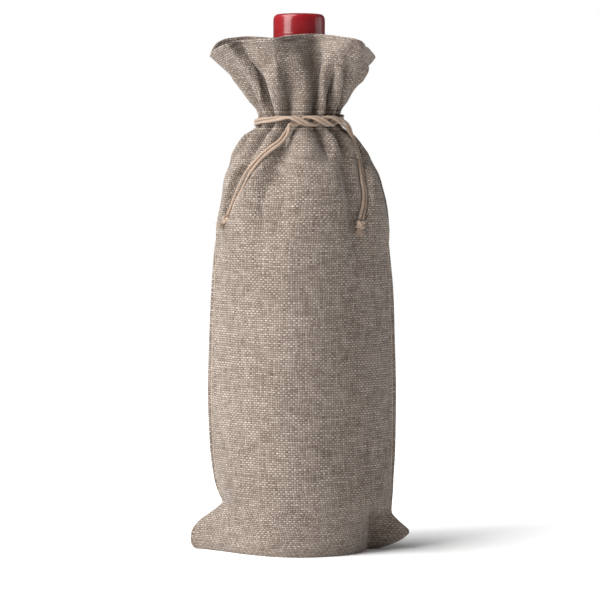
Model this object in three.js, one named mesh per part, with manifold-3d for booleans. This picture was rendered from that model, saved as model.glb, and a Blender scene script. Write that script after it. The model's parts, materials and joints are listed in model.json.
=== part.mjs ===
// Linen wine gift bag, tied round the neck of a corked and capsuled wine bottle.
//
// Millimetres, +Z up. The bag stands on the plane Z = 0 with the bottle's axis on the Z axis.
// The front of the bag faces -Y and +X is to its right.
//
// The bag is two panels of plain-weave cloth sewn together down both sides and along the bottom.
// Near the top two rows of stitching form a channel (the casing), and the cloth above it is a
// double-layer header that flares into a ruffle when the cords are pulled. Two cords run right
// round the channel. Each comes out at its own side, wraps over the front of the neck, passes
// through one half knot and hangs down on the far side as a pair of strands with a knotted end.

import * as THREE from 'three';
import { mergeVertices } from 'three/addons/utils/BufferGeometryUtils.js';
import Module from 'manifold-3d';

const wasm = await Module();
wasm.setup();

const DEG = Math.PI / 180;

// ---- Driving dimensions -------------------------------------------------------------------

const SEAM_GAP = 0.15;          // half of the gap kept between two pieces that touch
const MERGE_DISTANCE = 1e-4;    // points closer than this are one point
const CLOTH = 0.9;              // one layer of the cloth with its loft
const HEADER_CLOTH = 1.7;       // the header is two layers, folded over at the rim

const EAR_HALF_WIDTH = 62.3;    // bottom corners of the bag, where they stick out beside the bottle
const BAG_HALF_DEPTH = 39.8;    // of the filled bag, front and back
const EDGE_HALF_THICKNESS = 0.7; // of the bag's two side edges and corners
const ALLOWANCE_WIDTH = 7.0;    // raw edge inside each seam
const ALLOWANCE_THICKNESS = 0.8;
const ALLOWANCE_INSET = 3.2;    // where the wedge between the panels is thick enough to hold it
const ALLOWANCE_CLEARANCE = 1.2; // kept from the bottle's side
const ALLOWANCE_FOOT = 34.0;
const ALLOWANCE_HEAD = 190.0;
const ALLOWANCE_STEPS = 13;
const BOTTOM_ALLOWANCE_HALF_LENGTH = 44.0;
const STITCH_FROM_SEAM = 3.0;   // top-stitching beside each side seam
const SIDE_STITCH_FOOT = 30.0;
const SIDE_STITCH_HEAD = 206.0;
const SIDE_STITCH_STEPS = 11;
const STITCH_FROM_EDGE = 0.9;   // rows along the casing's two edges
const STITCH_STANDOFF = 0.4;
const STITCH_SIDES = 4;

const CASING_BOTTOM = 238.5;    // lower row of stitching
const CASING_TOP = 250.2;       // upper row of stitching
const CASING_INNER = 16.3;      // gathered cloth against the bottle's neck
const CASING_OUTER = 22.9;
const CASING_WALL = 0.8;
const CASING_PLEAT = 0.6;       // depth of the gathers on the casing
const CASING_PLEATS = 11;       // gathers in half a turn
const CASING_END = 84 * DEG;    // each half stops short of the side seam, leaving the cord's slot
const CASING_COLUMNS = 33;
const CASING_STITCH_END = 81 * DEG;
const CASING_STITCH_STEPS = 24;

const HEADER_BOTTOM = 250.6;
const HEADER_FOOT_RADIUS = 21.0;
const HEADER_PLEAT = 1.4;
const HEADER_PLEATS = 6;
const HEADER_FLARE = 1.15;      // above 1, the ruffle opens faster towards its rim
const HEADER_COLUMNS = 44;
const HEADER_ROWS = 5;
const FRONT_HEADER_TURNS = [-84 * DEG, 80 * DEG];
const BACK_HEADER_TURNS = [96 * DEG, 264 * DEG];

const STRAND_DIAMETER = 1.8;    // braided cord
const PAIR_HALF_SPACING = 1.1;  // half the distance between the two strands of a pair
const SLOT_RADIUS = 22.0;       // where a cord leaves the casing
const SLOT_BEND_TURN = 7 * DEG; // the cord turns outwards over this much of the way round
const SLOT_BEND_OUT = 0.6;
const SLOT_BEND_RISE = 0.8;     // as a share of half the spacing of the pair
const LOOP_RADIUS = 19.6;       // of the cord inside the channel
const LOOP_HEIGHTS = { left: 242.6, right: 246.2 };
const LOOP_END_TURN = 16 * DEG;
const LOOP_POINTS = 24;
const KNOT_LEFT = -11;          // turns round the neck, in degrees, between which the cords wind
const KNOT_RIGHT = 52;
const KNOT_RADIUS = 27.4;       // axis of the half knot
const KNOT_WIND_RADIUS = 2.0;
const KNOT_HEIGHT = 243.9;
const KNOT_WIND = 450;          // degrees, a turn and a quarter
const KNOT_STEPS = 10;
const LOOP_STEPS = 40;
const BAND_STEPS = 34;
const TAIL_STEPS = 18;
const CORD_SIDES = 8;
const BALL_RADIUS = 0.88;       // end about which a tail swings, just inside the cord's surface
const END_KNOT_RADIUS = 2.7;
const THREAD = 0.5;

const BOTTLE_BASE = 2.7;        // stands on two layers of cloth and the bottom seam
const BOTTLE_RADIUS = 37.8;
const NECK_RADIUS = 14.1;
const NECK_ROOT_RADIUS = 15.4;
const BOTTLE_HEIGHT = 301.5;
const SHOULDER_START = 178.0;   // above the bottle's own base
const SHOULDER_END = 223.0;
const SHOULDER_ROUNDNESS = 1.4;
const SHOULDER_STEPS = 8;
const LOWER_NECK_RISE = 12.0;   // from the shoulder to where the neck is nearly straight
const NECK_RISE = 18.0;
const LIP_HEIGHT = 3.6;         // rounded top edge
const GLASS = 2.8;
const BORE_RADIUS = 9.3;
const BORE_FLARE = 0.6;
const CORK_LENGTH = 45.0;
const CORK_DEPTH = 1.0;         // below the rim
const CORK_BEVEL = 0.6;
const FILL_LEVEL = 240.0;       // wine, above the bottle's own base
const WINE_NECK_RADIUS = 8.8;
const CAPSULE_RADIUS = 14.65;
const CAPSULE_LENGTH = 60.0;
const CAPSULE_FOIL = 0.3;
const CAPSULE_RING_DEPTH = 11.8; // raised line round the capsule, below its top
const CAPSULE_RING_HALF_WIDTH = 0.4;
const CAPSULE_RING_RISE = 0.12;

// The filled bag from the floor to the casing: height, half width to the left and to the right,
// half depth, and the exponent of the section. 2 is the lens that flat cloth makes over a
// cylinder, 1 is an ellipse, and 3 has thin wings, as in the bottom corners.
const BODY_STATIONS = [
  { z: 0.0, left: 61.0, right: 61.0, depth: 38.6, power: 3.0 },
  { z: 4.0, left: EAR_HALF_WIDTH, right: EAR_HALF_WIDTH, depth: 39.4, power: 3.0 },
  { z: 10.0, left: 61.8, right: EAR_HALF_WIDTH, depth: 39.6, power: 3.0 },
  { z: 16.0, left: 57.0, right: 58.0, depth: 39.6, power: 2.6 },
  { z: 22.0, left: 50.0, right: 54.0, depth: 39.7, power: 1.8 },
  { z: 29.0, left: 46.0, right: 53.5, depth: 39.7, power: 1.4 },
  { z: 40.0, left: 48.5, right: 54.0, depth: BAG_HALF_DEPTH, power: 1.6 },
  { z: 60.0, left: 51.0, right: 55.0, depth: BAG_HALF_DEPTH, power: 2.0 },
  { z: 90.0, left: 52.0, right: 55.3, depth: BAG_HALF_DEPTH, power: 2.0 },
  { z: 120.0, left: 51.3, right: 54.6, depth: BAG_HALF_DEPTH, power: 2.0 },
  { z: 145.0, left: 50.2, right: 53.8, depth: BAG_HALF_DEPTH, power: 2.0 },
  { z: 168.0, left: 48.6, right: 51.8, depth: BAG_HALF_DEPTH, power: 1.8 },
  { z: 186.0, left: 45.8, right: 49.6, depth: 39.7, power: 1.6 },
  { z: 199.0, left: 42.6, right: 46.4, depth: 39.0, power: 1.4 },
  { z: 211.0, left: 39.9, right: 42.2, depth: 36.8, power: 1.3 },
  { z: 222.0, left: 36.0, right: 36.6, depth: 33.4, power: 1.2 },
  { z: 231.0, left: 32.0, right: 32.6, depth: 29.6, power: 1.1 },
  { z: 236.0, left: 28.8, right: 29.6, depth: 26.8, power: 1.0 },
  { z: 238.2, left: 24.6, right: 25.2, depth: 24.2, power: 1.0 },
];

// Rim of the header, front and back, from left to right. The right-hand seam leans forward, so
// the back rim comes round the right side of the mouth.
const FRONT_RIM = [
  [-50.6, -4.5, 280.0], [-44.0, -19.0, 284.5], [-31.0, -26.5, 288.0], [-18.0, -20.5, 289.5],
  [-7.0, -19.0, 290.0], [8.0, -25.5, 291.5], [22.0, -28.5, 291.0], [31.0, -25.0, 287.0],
  [36.8, -17.5, 283.5],
];
const BACK_RIM = [
  [-50.6, -0.5, 282.0], [-46.0, 14.0, 287.5], [-32.0, 23.0, 291.5], [-15.0, 21.0, 291.0],
  [0.0, 24.0, 290.0], [16.0, 27.0, 289.0], [31.0, 22.0, 286.0], [41.5, 9.0, 281.5],
  [42.6, -4.0, 280.5], [40.2, -13.0, 283.0],
];

// The base of the glass from the centre out: [radius, height] pairs of the hollow under it, and of
// the floor inside it.
const GLASS_FOOT = [[0, 16], [12, 14], [22, 8.5], [29, 2], [31.5, 0], [34.5, 0], [37, 1.6]];
const GLASS_FLOOR = [[0, 21], [12, 19], [23, 13], [31, 6.5]];
const GLASS_SIDE_FOOT = 4.5;    // the straight side begins
const GLASS_FLOOR_EDGE = 9.0;

// From its own slot round to the half knot, each pair's turn, radius, height and lean.
const LEFT_STANDING_ROUTE = [
  [-90, 23.6, 242.6, 90], [-82, 25.0, 243.1, 90], [-62, 24.9, 244.2, 100], [-40, 25.3, 244.8, 120],
  [-24, 26.2, 245.4, 150],
];
const RIGHT_STANDING_ROUTE = [
  [90, 23.6, 246.2, 90], [82, 25.0, 245.9, 90], [66, 25.0, 244.6, 90],
];

// From the half knot down to where each tail begins to swing: first strand, then second strand.
const LEFT_CORD_LEADS = [
  [[26.6, -15.6, 243.0], [28.4, -13.4, 240.6]],
  [[25.6, -16.9, 241.2], [27.2, -15.2, 239.6]],
];
const RIGHT_CORD_LEADS = [
  [[-6.1, -26.0, 240.4]],
  [[-5.5, -27.95, 240.2]],
];

// From there to the end knot, lying on the front of the bag. The left cord's tail hangs on the
// right and the right cord's tail on the left.
const LEFT_CORD_TAILS = [
  [[29.2, -11.9, 238.2], [30.8, -9.7, 233.5], [33.1, -10.5, 227.6], [35.0, -14.2, 219.0],
    [36.2, -18.1, 210.6], [37.5, -19.8, 202.2], [36.9, -22.0, 195.2], [35.4, -25.4, 189.4]],
  [[28.0, -13.9, 237.8], [30.0, -11.8, 233.5], [32.1, -12.5, 228.0], [33.8, -15.9, 219.6],
    [35.0, -19.8, 211.0], [36.1, -21.3, 202.6], [35.5, -23.7, 196.0], [33.8, -26.6, 189.6]],
];
const RIGHT_CORD_TAILS = [
  [[-7.05, -26.25, 238.6], [-8.4, -27.1, 236.6], [-11.0, -28.2, 233.2], [-17.3, -27.6, 228.5],
    [-23.1, -25.9, 223.1], [-29.4, -22.6, 215.7], [-33.7, -20.0, 207.3], [-37.3, -17.1, 198.8],
    [-39.9, -15.3, 191.2]],
  [[-5.85, -27.75, 238.2], [-6.9, -28.4, 235.6], [-9.8, -29.5, 232.0], [-16.3, -28.9, 227.1],
    [-22.1, -27.4, 221.7], [-27.8, -25.1, 213.9], [-31.9, -23.0, 205.5], [-35.9, -19.5, 197.2],
    [-38.4, -17.1, 190.8]],
];
const LEFT_CORD_KNOT = [34.3, -27.8, 186.2];
const LEFT_CORD_KNOT_ENDS = [-0.15, -0.1, -1.0];  // direction in which the frayed ends point
const RIGHT_CORD_KNOT = [-40.6, -17.4, 188.2];
const RIGHT_CORD_KNOT_ENDS = [-0.75, 0.2, -0.7];

// ---- Materials ------------------------------------------------------------------------------

function finish(color, roughness, metalness = 0) {
  return new THREE.MeshStandardMaterial({ color, roughness, metalness });
}

const LINEN = finish(0x9c8a7a, 0.95);
const LINEN_INSIDE = finish(0x7d6a5b, 0.95);
const CORD = finish(0xc9a88c, 0.75);
const SEWING_THREAD = finish(0xb7a48f, 0.8);
const DARK_GLASS = finish(0x1d2a1c, 0.1);
const WINE = finish(0x3a0812, 0.1);
const CORK_OAK = finish(0xb98d5e, 0.9);
const RED_FOIL = finish(0x8e1f25, 0.25);

const bag = new THREE.Group();

function addPart(name, geometry, material) {
  const mesh = new THREE.Mesh(geometry, material);
  mesh.name = name;
  bag.add(mesh);
}

// ---- Shape tools ----------------------------------------------------------------------------

// Indexed geometry from a list of points and a list of faces with any number of corners.
function geometryFromFaces(points, faces) {
  const index = [];
  for (const face of faces) {
    for (let corner = 2; corner < face.length; corner += 1) {
      index.push(face[0], face[corner - 1], face[corner]);
    }
  }
  const geometry = new THREE.BufferGeometry();
  geometry.setAttribute('position', new THREE.Float32BufferAttribute(points.flatMap((p) => p.toArray()), 3));
  geometry.setIndex(index);
  geometry.computeVertexNormals();
  return geometry;
}

// Unit normal of a grid of points at one row and column. It points to the side that sees the
// rows go up and the columns go right.
function gridNormal(grid, row, column) {
  const rows = grid.length;
  const columns = grid[0].length;
  const up = grid[Math.min(row + 1, rows - 1)][column].clone().sub(grid[Math.max(row - 1, 0)][column]);
  const right = grid[row][Math.min(column + 1, columns - 1)].clone().sub(grid[row][Math.max(column - 1, 0)]);
  return right.cross(up).normalize();
}

// A sheet of cloth: the outer face is the grid, the inner face lies one thickness behind it.
// trim moves an inner point so that two sheets meet along a seam without crossing.
function sheetGeometry(grid, thickness, trim = (point) => point) {
  const rows = grid.length;
  const columns = grid[0].length;
  const points = grid.flat();
  for (let row = 0; row < rows; row += 1) {
    for (let column = 0; column < columns; column += 1) {
      const normal = gridNormal(grid, row, column);
      points.push(trim(grid[row][column].clone().addScaledVector(normal, -thickness)));
    }
  }
  const outer = (row, column) => row * columns + column;
  const inner = (row, column) => rows * columns + row * columns + column;
  const faces = [];
  for (let row = 0; row < rows - 1; row += 1) {
    for (let column = 0; column < columns - 1; column += 1) {
      const round = [[row, column], [row, column + 1], [row + 1, column + 1], [row + 1, column]];
      faces.push(round.map(([r, c]) => outer(r, c)));
      faces.push(round.map(([r, c]) => inner(r, c)).reverse());
    }
  }
  for (let column = 0; column < columns - 1; column += 1) {
    const last = rows - 1;
    faces.push([outer(0, column), inner(0, column), inner(0, column + 1), outer(0, column + 1)]);
    faces.push([outer(last, column), outer(last, column + 1), inner(last, column + 1), inner(last, column)]);
  }
  for (let row = 0; row < rows - 1; row += 1) {
    const last = columns - 1;
    faces.push([outer(row, 0), outer(row + 1, 0), inner(row + 1, 0), inner(row, 0)]);
    faces.push([outer(row, last), inner(row, last), inner(row + 1, last), outer(row + 1, last)]);
  }
  return geometryFromFaces(points, faces);
}

// A closed tube of round section along a smooth curve through the points.
function tubeGeometry(points, diameter, steps, sides) {
  const section = new THREE.Shape();
  for (let side = 0; side < sides; side += 1) {
    const angle = (side / sides) * 2 * Math.PI;
    const x = (diameter / 2) * Math.cos(angle);
    const y = (diameter / 2) * Math.sin(angle);
    if (side === 0) section.moveTo(x, y);
    else section.lineTo(x, y);
  }
  section.closePath();
  const curve = new THREE.CatmullRomCurve3(points, false, 'centripetal');
  return new THREE.ExtrudeGeometry(section, { steps, bevelEnabled: false, extrudePath: curve });
}

function solidFrom(geometry) {
  const bare = new THREE.BufferGeometry();
  bare.setAttribute('position', geometry.getAttribute('position'));
  bare.setIndex(geometry.getIndex());
  const merged = mergeVertices(bare, MERGE_DISTANCE);
  const vertProperties = Float32Array.from(merged.getAttribute('position').array);
  const triVerts = Uint32Array.from(merged.getIndex().array);
  return new wasm.Manifold(new wasm.Mesh({ numProp: 3, vertProperties, triVerts }));
}

function joined(first, second) {
  const { vertProperties, triVerts } = solidFrom(first).add(solidFrom(second)).getMesh();
  const geometry = new THREE.BufferGeometry();
  geometry.setAttribute('position', new THREE.BufferAttribute(vertProperties, 3));
  geometry.setIndex(new THREE.BufferAttribute(triVerts, 1));
  geometry.computeVertexNormals();
  return geometry;
}

function vectors(list) {
  return list.map(([x, y, z]) => new THREE.Vector3(x, y, z));
}

// Solid of revolution about the Z axis from [radius, height] pairs.
function turned(profile, segments = 36) {
  const points = profile.map(([radius, height]) => new THREE.Vector2(radius, height));
  return new THREE.LatheGeometry(points, segments).rotateX(Math.PI / 2);
}

// ---- Bag body -------------------------------------------------------------------------------

function stationAt(height) {
  const above = Math.max(1, BODY_STATIONS.findIndex((station) => station.z >= height));
  const low = BODY_STATIONS[above - 1];
  const high = BODY_STATIONS[above];
  const share = (height - low.z) / (high.z - low.z);
  const mix = (key) => THREE.MathUtils.lerp(low[key], high[key], share);
  return { left: mix('left'), right: mix('right'), depth: mix('depth'), power: mix('power') };
}

// Point of the bag's outside at a height. turn runs from -90 degrees at the left seam, through 0
// at the middle of the panel, to +90 degrees at the right seam. face is -1 in front, +1 behind.
function clothPoint(height, turn, face) {
  const { left, right, depth, power } = stationAt(height);
  const x = (turn < 0 ? left : right) * Math.sin(turn);
  const y = face * (EDGE_HALF_THICKNESS + (depth - EDGE_HALF_THICKNESS) * Math.cos(turn) ** power);
  return new THREE.Vector3(x, y, height);
}

const PANEL_COLUMNS = 22;

// One panel, from the bottom seam under the bottle, round the bottom edge and up to the casing.
function panelGeometry(face) {
  const turns = [];
  for (let column = 0; column <= PANEL_COLUMNS; column += 1) {
    turns.push((column / PANEL_COLUMNS - 0.5) * Math.PI);
  }
  if (face > 0) turns.reverse();
  const bottomEdge = turns.map((turn) => clothPoint(0, turn, face));
  const seamLine = bottomEdge.map((point) => new THREE.Vector3(point.x, face * SEAM_GAP, 0));
  const underBottle = bottomEdge.map((point, column) => point.clone().lerp(seamLine[column], 0.5));
  const grid = [seamLine, underBottle];
  for (const station of BODY_STATIONS) grid.push(turns.map((turn) => clothPoint(station.z, turn, face)));
  grid[2].forEach((point) => { point.z = 0; });
  const trim = (point) => {
    if (face * point.y < SEAM_GAP) point.y = face * SEAM_GAP;
    if (point.z < CLOTH) point.z = CLOTH;
    return point;
  };
  return sheetGeometry(grid, CLOTH, trim);
}

addPart('front_panel', panelGeometry(-1), LINEN);
addPart('back_panel', panelGeometry(1), LINEN);

// ---- Seams ----------------------------------------------------------------------------------

// Raw edges of the two panels, turned inside and lying flat between them down one side.
function sideAllowanceGeometry(side) {
  const grid = [];
  for (let step = 0; step <= ALLOWANCE_STEPS; step += 1) {
    const height = THREE.MathUtils.lerp(ALLOWANCE_FOOT, ALLOWANCE_HEAD, step / ALLOWANCE_STEPS);
    const station = stationAt(height);
    const outerEdge = (side < 0 ? station.left : station.right) - ALLOWANCE_INSET;
    const innerEdge = Math.max(outerEdge - ALLOWANCE_WIDTH, BOTTLE_RADIUS + ALLOWANCE_CLEARANCE);
    const across = [outerEdge, (outerEdge + innerEdge) / 2, innerEdge].map((x) => side * x);
    across.sort((a, b) => b - a);
    grid.push(across.map((x) => new THREE.Vector3(x, ALLOWANCE_THICKNESS / 2, height)));
  }
  return sheetGeometry(grid, ALLOWANCE_THICKNESS);
}

// Raw edges along the bottom seam, folded to the back and stood on by the bottle.
function bottomAllowanceGeometry() {
  const length = 2 * BOTTOM_ALLOWANCE_HALF_LENGTH;
  const height = BOTTLE_BASE - CLOTH - 4 * SEAM_GAP;
  const geometry = new THREE.BoxGeometry(length, ALLOWANCE_WIDTH, height, 12, 1, 1);
  return geometry.translate(0, ALLOWANCE_WIDTH / 2, CLOTH + 2 * SEAM_GAP + height / 2);
}

// A row of machine stitching, standing just clear of the cloth it is sewn through.
function stitchingGeometry(points, steps) {
  return tubeGeometry(points, THREAD, steps, STITCH_SIDES);
}

function sideStitchingPoints(side) {
  const points = [];
  for (let step = 0; step <= SIDE_STITCH_STEPS; step += 1) {
    const height = THREE.MathUtils.lerp(SIDE_STITCH_FOOT, SIDE_STITCH_HEAD, step / SIDE_STITCH_STEPS);
    const station = stationAt(height);
    const halfWidth = side < 0 ? station.left : station.right;
    const turn = side * Math.asin(1 - STITCH_FROM_SEAM / halfWidth);
    const point = clothPoint(height, turn, -1);
    point.x += side * STITCH_STANDOFF;
    point.y -= STITCH_STANDOFF;
    points.push(point);
  }
  return points;
}

addPart('left_seam_allowance', sideAllowanceGeometry(-1), LINEN_INSIDE);
addPart('right_seam_allowance', sideAllowanceGeometry(1), LINEN_INSIDE);
addPart('bottom_seam_allowance', bottomAllowanceGeometry(), LINEN_INSIDE);
for (const [name, side] of [['left', -1], ['right', 1]]) {
  const points = sideStitchingPoints(side);
  addPart(`${name}_side_stitching`, stitchingGeometry(points, 2 * SIDE_STITCH_STEPS), SEWING_THREAD);
}

// ---- Casing ---------------------------------------------------------------------------------

// Point at a radius from the bottle's axis. turn is 0 in front and grows to the right.
function around(radius, turn, height) {
  return new THREE.Vector3(radius * Math.sin(turn), -radius * Math.cos(turn), height);
}

function casingOuterRadius(turn) {
  return CASING_OUTER + CASING_PLEAT * Math.cos(2 * CASING_PLEATS * turn);
}

// Half of the channel: a hollow band, open at both ends, gathered on the outside.
function casingGeometry(middle) {
  const points = [];
  const faces = [];
  for (let column = 0; column <= CASING_COLUMNS; column += 1) {
    const turn = middle + (column / CASING_COLUMNS - 0.5) * 2 * CASING_END;
    const outer = casingOuterRadius(turn);
    const wall = CASING_WALL;
    const ring = [
      [CASING_INNER, CASING_BOTTOM], [outer, CASING_BOTTOM], [outer, CASING_TOP], [CASING_INNER, CASING_TOP],
      [CASING_INNER + wall, CASING_BOTTOM + wall], [outer - wall, CASING_BOTTOM + wall],
      [outer - wall, CASING_TOP - wall], [CASING_INNER + wall, CASING_TOP - wall],
    ];
    ring.forEach(([radius, height]) => points.push(around(radius, turn, height)));
  }
  const corner = (column, index) => column * 8 + index;
  for (let column = 0; column < CASING_COLUMNS; column += 1) {
    for (let index = 0; index < 4; index += 1) {
      const next = (index + 1) % 4;
      const outside = [[column, index], [column + 1, index], [column + 1, next], [column, next]];
      faces.push(outside.map(([place, edge]) => corner(place, edge)));
      faces.push(outside.map(([place, edge]) => corner(place, 4 + edge)).reverse());
    }
  }
  for (let index = 0; index < 4; index += 1) {
    const next = (index + 1) % 4;
    const last = CASING_COLUMNS;
    faces.push([corner(0, index), corner(0, next), corner(0, 4 + next), corner(0, 4 + index)]);
    faces.push([corner(last, index), corner(last, 4 + index), corner(last, 4 + next), corner(last, next)]);
  }
  return geometryFromFaces(points, faces);
}

function casingStitchingPoints(middle, height) {
  const points = [];
  for (let step = 0; step <= CASING_STITCH_STEPS; step += 1) {
    const turn = middle + (step / CASING_STITCH_STEPS - 0.5) * 2 * CASING_STITCH_END;
    points.push(around(CASING_OUTER + CASING_PLEAT + STITCH_STANDOFF, turn, height));
  }
  return points;
}

for (const [face, middle] of [['front', 0], ['back', Math.PI]]) {
  addPart(`${face}_casing`, casingGeometry(middle), LINEN);
  const lower = casingStitchingPoints(middle, CASING_BOTTOM + STITCH_FROM_EDGE);
  const upper = casingStitchingPoints(middle, CASING_TOP - STITCH_FROM_EDGE);
  addPart(`${face}_lower_casing_stitching`, stitchingGeometry(lower, CASING_STITCH_STEPS), SEWING_THREAD);
  addPart(`${face}_upper_casing_stitching`, stitchingGeometry(upper, CASING_STITCH_STEPS), SEWING_THREAD);
}

// ---- Header ---------------------------------------------------------------------------------

// One half of the ruffle. Its foot is gathered against the casing and its rim follows the points.
function headerGeometry(rimPoints, [startTurn, endTurn]) {
  const rim = new THREE.CatmullRomCurve3(vectors(rimPoints), false, 'centripetal');
  const grid = [];
  for (let row = 0; row <= HEADER_ROWS; row += 1) {
    const rise = row / HEADER_ROWS;
    const flare = rise ** HEADER_FLARE;
    const line = [];
    for (let column = 0; column <= HEADER_COLUMNS; column += 1) {
      const across = column / HEADER_COLUMNS;
      const turn = THREE.MathUtils.lerp(startTurn, endTurn, across);
      const pleat = HEADER_PLEAT * (1 - rise) * Math.cos(2 * Math.PI * HEADER_PLEATS * across);
      const foot = around(HEADER_FOOT_RADIUS + pleat, turn, HEADER_BOTTOM);
      const top = rim.getPoint(across);
      const point = foot.clone().lerp(top, flare);
      point.z = THREE.MathUtils.lerp(foot.z, top.z, rise);
      line.push(point);
    }
    grid.push(line);
  }
  return sheetGeometry(grid, HEADER_CLOTH);
}

addPart('front_header', headerGeometry(FRONT_RIM, FRONT_HEADER_TURNS), LINEN);
addPart('back_header', headerGeometry([...BACK_RIM].reverse(), BACK_HEADER_TURNS), LINEN);

// ---- Drawstring -----------------------------------------------------------------------------

// The part of a cord that runs right round inside the channel. Its two ends turn out, one above
// the other, through the slot at the side where it began.
function loopPoints(exitTurn, height) {
  const end = (rise) => around(SLOT_RADIUS, exitTurn, height + rise * PAIR_HALF_SPACING);
  const bend = (side) => around(
    LOOP_RADIUS + SLOT_BEND_OUT,
    exitTurn + side * SLOT_BEND_TURN,
    height + side * SLOT_BEND_RISE * PAIR_HALF_SPACING,
  );
  const points = [end(1), bend(1)];
  for (let step = 0; step <= LOOP_POINTS; step += 1) {
    const turn = THREE.MathUtils.lerp(LOOP_END_TURN, 2 * Math.PI - LOOP_END_TURN, step / LOOP_POINTS);
    points.push(around(LOOP_RADIUS, exitTurn + turn, height));
  }
  points.push(bend(-1), end(-1));
  return points;
}

// One strand of a pair. The pair's centre is at a turn, radius and height round the neck, and the
// strand lies to one side of it, in the direction lean: 0 is outwards and 90 degrees is up.
function pairPoint([turn, radius, height, lean], strand) {
  const offset = strand * PAIR_HALF_SPACING;
  return around(radius + offset * Math.cos(lean * DEG), turn * DEG, height + offset * Math.sin(lean * DEG));
}

// The half knot: the two pairs wind round each other, a turn and a quarter, along the front of
// the neck. phase is 0 for the left cord and 180 for the right cord, which lies opposite to it.
function halfKnotRoute(phase) {
  const route = [];
  for (let step = 0; step <= KNOT_STEPS; step += 1) {
    const share = step / KNOT_STEPS;
    const wind = 90 - KNOT_WIND * share + phase;
    const turn = THREE.MathUtils.lerp(KNOT_LEFT, KNOT_RIGHT, share);
    const radius = KNOT_RADIUS + KNOT_WIND_RADIUS * Math.cos(wind * DEG);
    const height = KNOT_HEIGHT + KNOT_WIND_RADIUS * Math.sin(wind * DEG);
    route.push([turn, radius, height, phase === 0 ? wind + 90 : wind - 90]);
  }
  return route;
}

// One strand from its slot to just short of its tail, whose rounded end turns against it.
function bandPoints({ route, leads, tails }, index) {
  const strand = index === 0 ? 1 : -1;
  const lead = vectors(leads[index]);
  const hinge = vectors(tails[index])[0];
  const back = lead[lead.length - 1].clone().sub(hinge).setLength(STRAND_DIAMETER / 2 + SEAM_GAP);
  return [...route.map((place) => pairPoint(place, strand)), ...lead, hinge.add(back)];
}

// The hanging part of a strand. It begins in a ball, so that it can swing about its first point.
function tailGeometry(points) {
  const tube = tubeGeometry(points, STRAND_DIAMETER, TAIL_STEPS, CORD_SIDES);
  const ball = new THREE.SphereGeometry(BALL_RADIUS, 12, 8).translate(...points[0].toArray());
  return joined(tube, ball);
}

// A small overhand knot with the frayed ends of both strands below it.
function endKnotGeometry(centre, towards) {
  const r = END_KNOT_RADIUS;
  const knot = turned([
    [0, -r - 4.6], [1.9, -r - 4.4], [1.5, -r - 1.6], [1.1, -r + 0.2], [2.0, -0.72 * r], [r, -0.2 * r],
    [0.93 * r, 0.4 * r], [0.6 * r, 0.85 * r], [0, r],
  ], 14);
  const down = new THREE.Vector3(0, 0, -1);
  knot.applyQuaternion(new THREE.Quaternion().setFromUnitVectors(down, towards.clone().normalize()));
  return knot.translate(centre.x, centre.y, centre.z);
}

const CORDS = [
  {
    side: 'left', exitTurn: -90 * DEG, route: [...LEFT_STANDING_ROUTE, ...halfKnotRoute(0)],
    leads: LEFT_CORD_LEADS, tails: LEFT_CORD_TAILS, knot: LEFT_CORD_KNOT, knotEnds: LEFT_CORD_KNOT_ENDS,
  },
  {
    side: 'right', exitTurn: 90 * DEG, route: [...RIGHT_STANDING_ROUTE, ...halfKnotRoute(180).reverse()],
    leads: RIGHT_CORD_LEADS, tails: RIGHT_CORD_TAILS, knot: RIGHT_CORD_KNOT, knotEnds: RIGHT_CORD_KNOT_ENDS,
  },
];

for (const cord of CORDS) {
  const name = `${cord.side}_cord`;
  const loop = loopPoints(cord.exitTurn, LOOP_HEIGHTS[cord.side]);
  addPart(`${name}_in_casing`, tubeGeometry(loop, STRAND_DIAMETER, LOOP_STEPS, CORD_SIDES), CORD);
  ['first', 'second'].forEach((strand, index) => {
    const band = tubeGeometry(bandPoints(cord, index), STRAND_DIAMETER, BAND_STEPS, CORD_SIDES);
    const tail = tailGeometry(vectors(cord.tails[index]));
    addPart(`${name}_${strand}_strand`, band, CORD);
    addPart(`${name}_${strand}_tail`, tail, CORD);
  });
  addPart(`${name}_end_knot`, endKnotGeometry(...vectors([cord.knot, cord.knotEnds])), CORD);
}

// ---- Bottle ---------------------------------------------------------------------------------

function raised(profile) {
  return profile.map(([radius, height]) => [radius, height + BOTTLE_BASE]);
}

// Outside radius of the shoulder: full at its start and a high round curve into the neck.
function shoulderRadius(height, inset = 0) {
  const share = (height - SHOULDER_START) / (SHOULDER_END - SHOULDER_START);
  const fall = 0.5 + 0.5 * Math.cos(Math.PI * share ** SHOULDER_ROUNDNESS);
  return NECK_ROOT_RADIUS + (BOTTLE_RADIUS - NECK_ROOT_RADIUS) * fall - inset;
}

function shoulderProfile(inset) {
  const profile = [];
  for (let step = 0; step <= SHOULDER_STEPS; step += 1) {
    const height = THREE.MathUtils.lerp(SHOULDER_START, SHOULDER_END, step / SHOULDER_STEPS);
    profile.push([shoulderRadius(height, inset), height]);
  }
  return profile;
}

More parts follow.
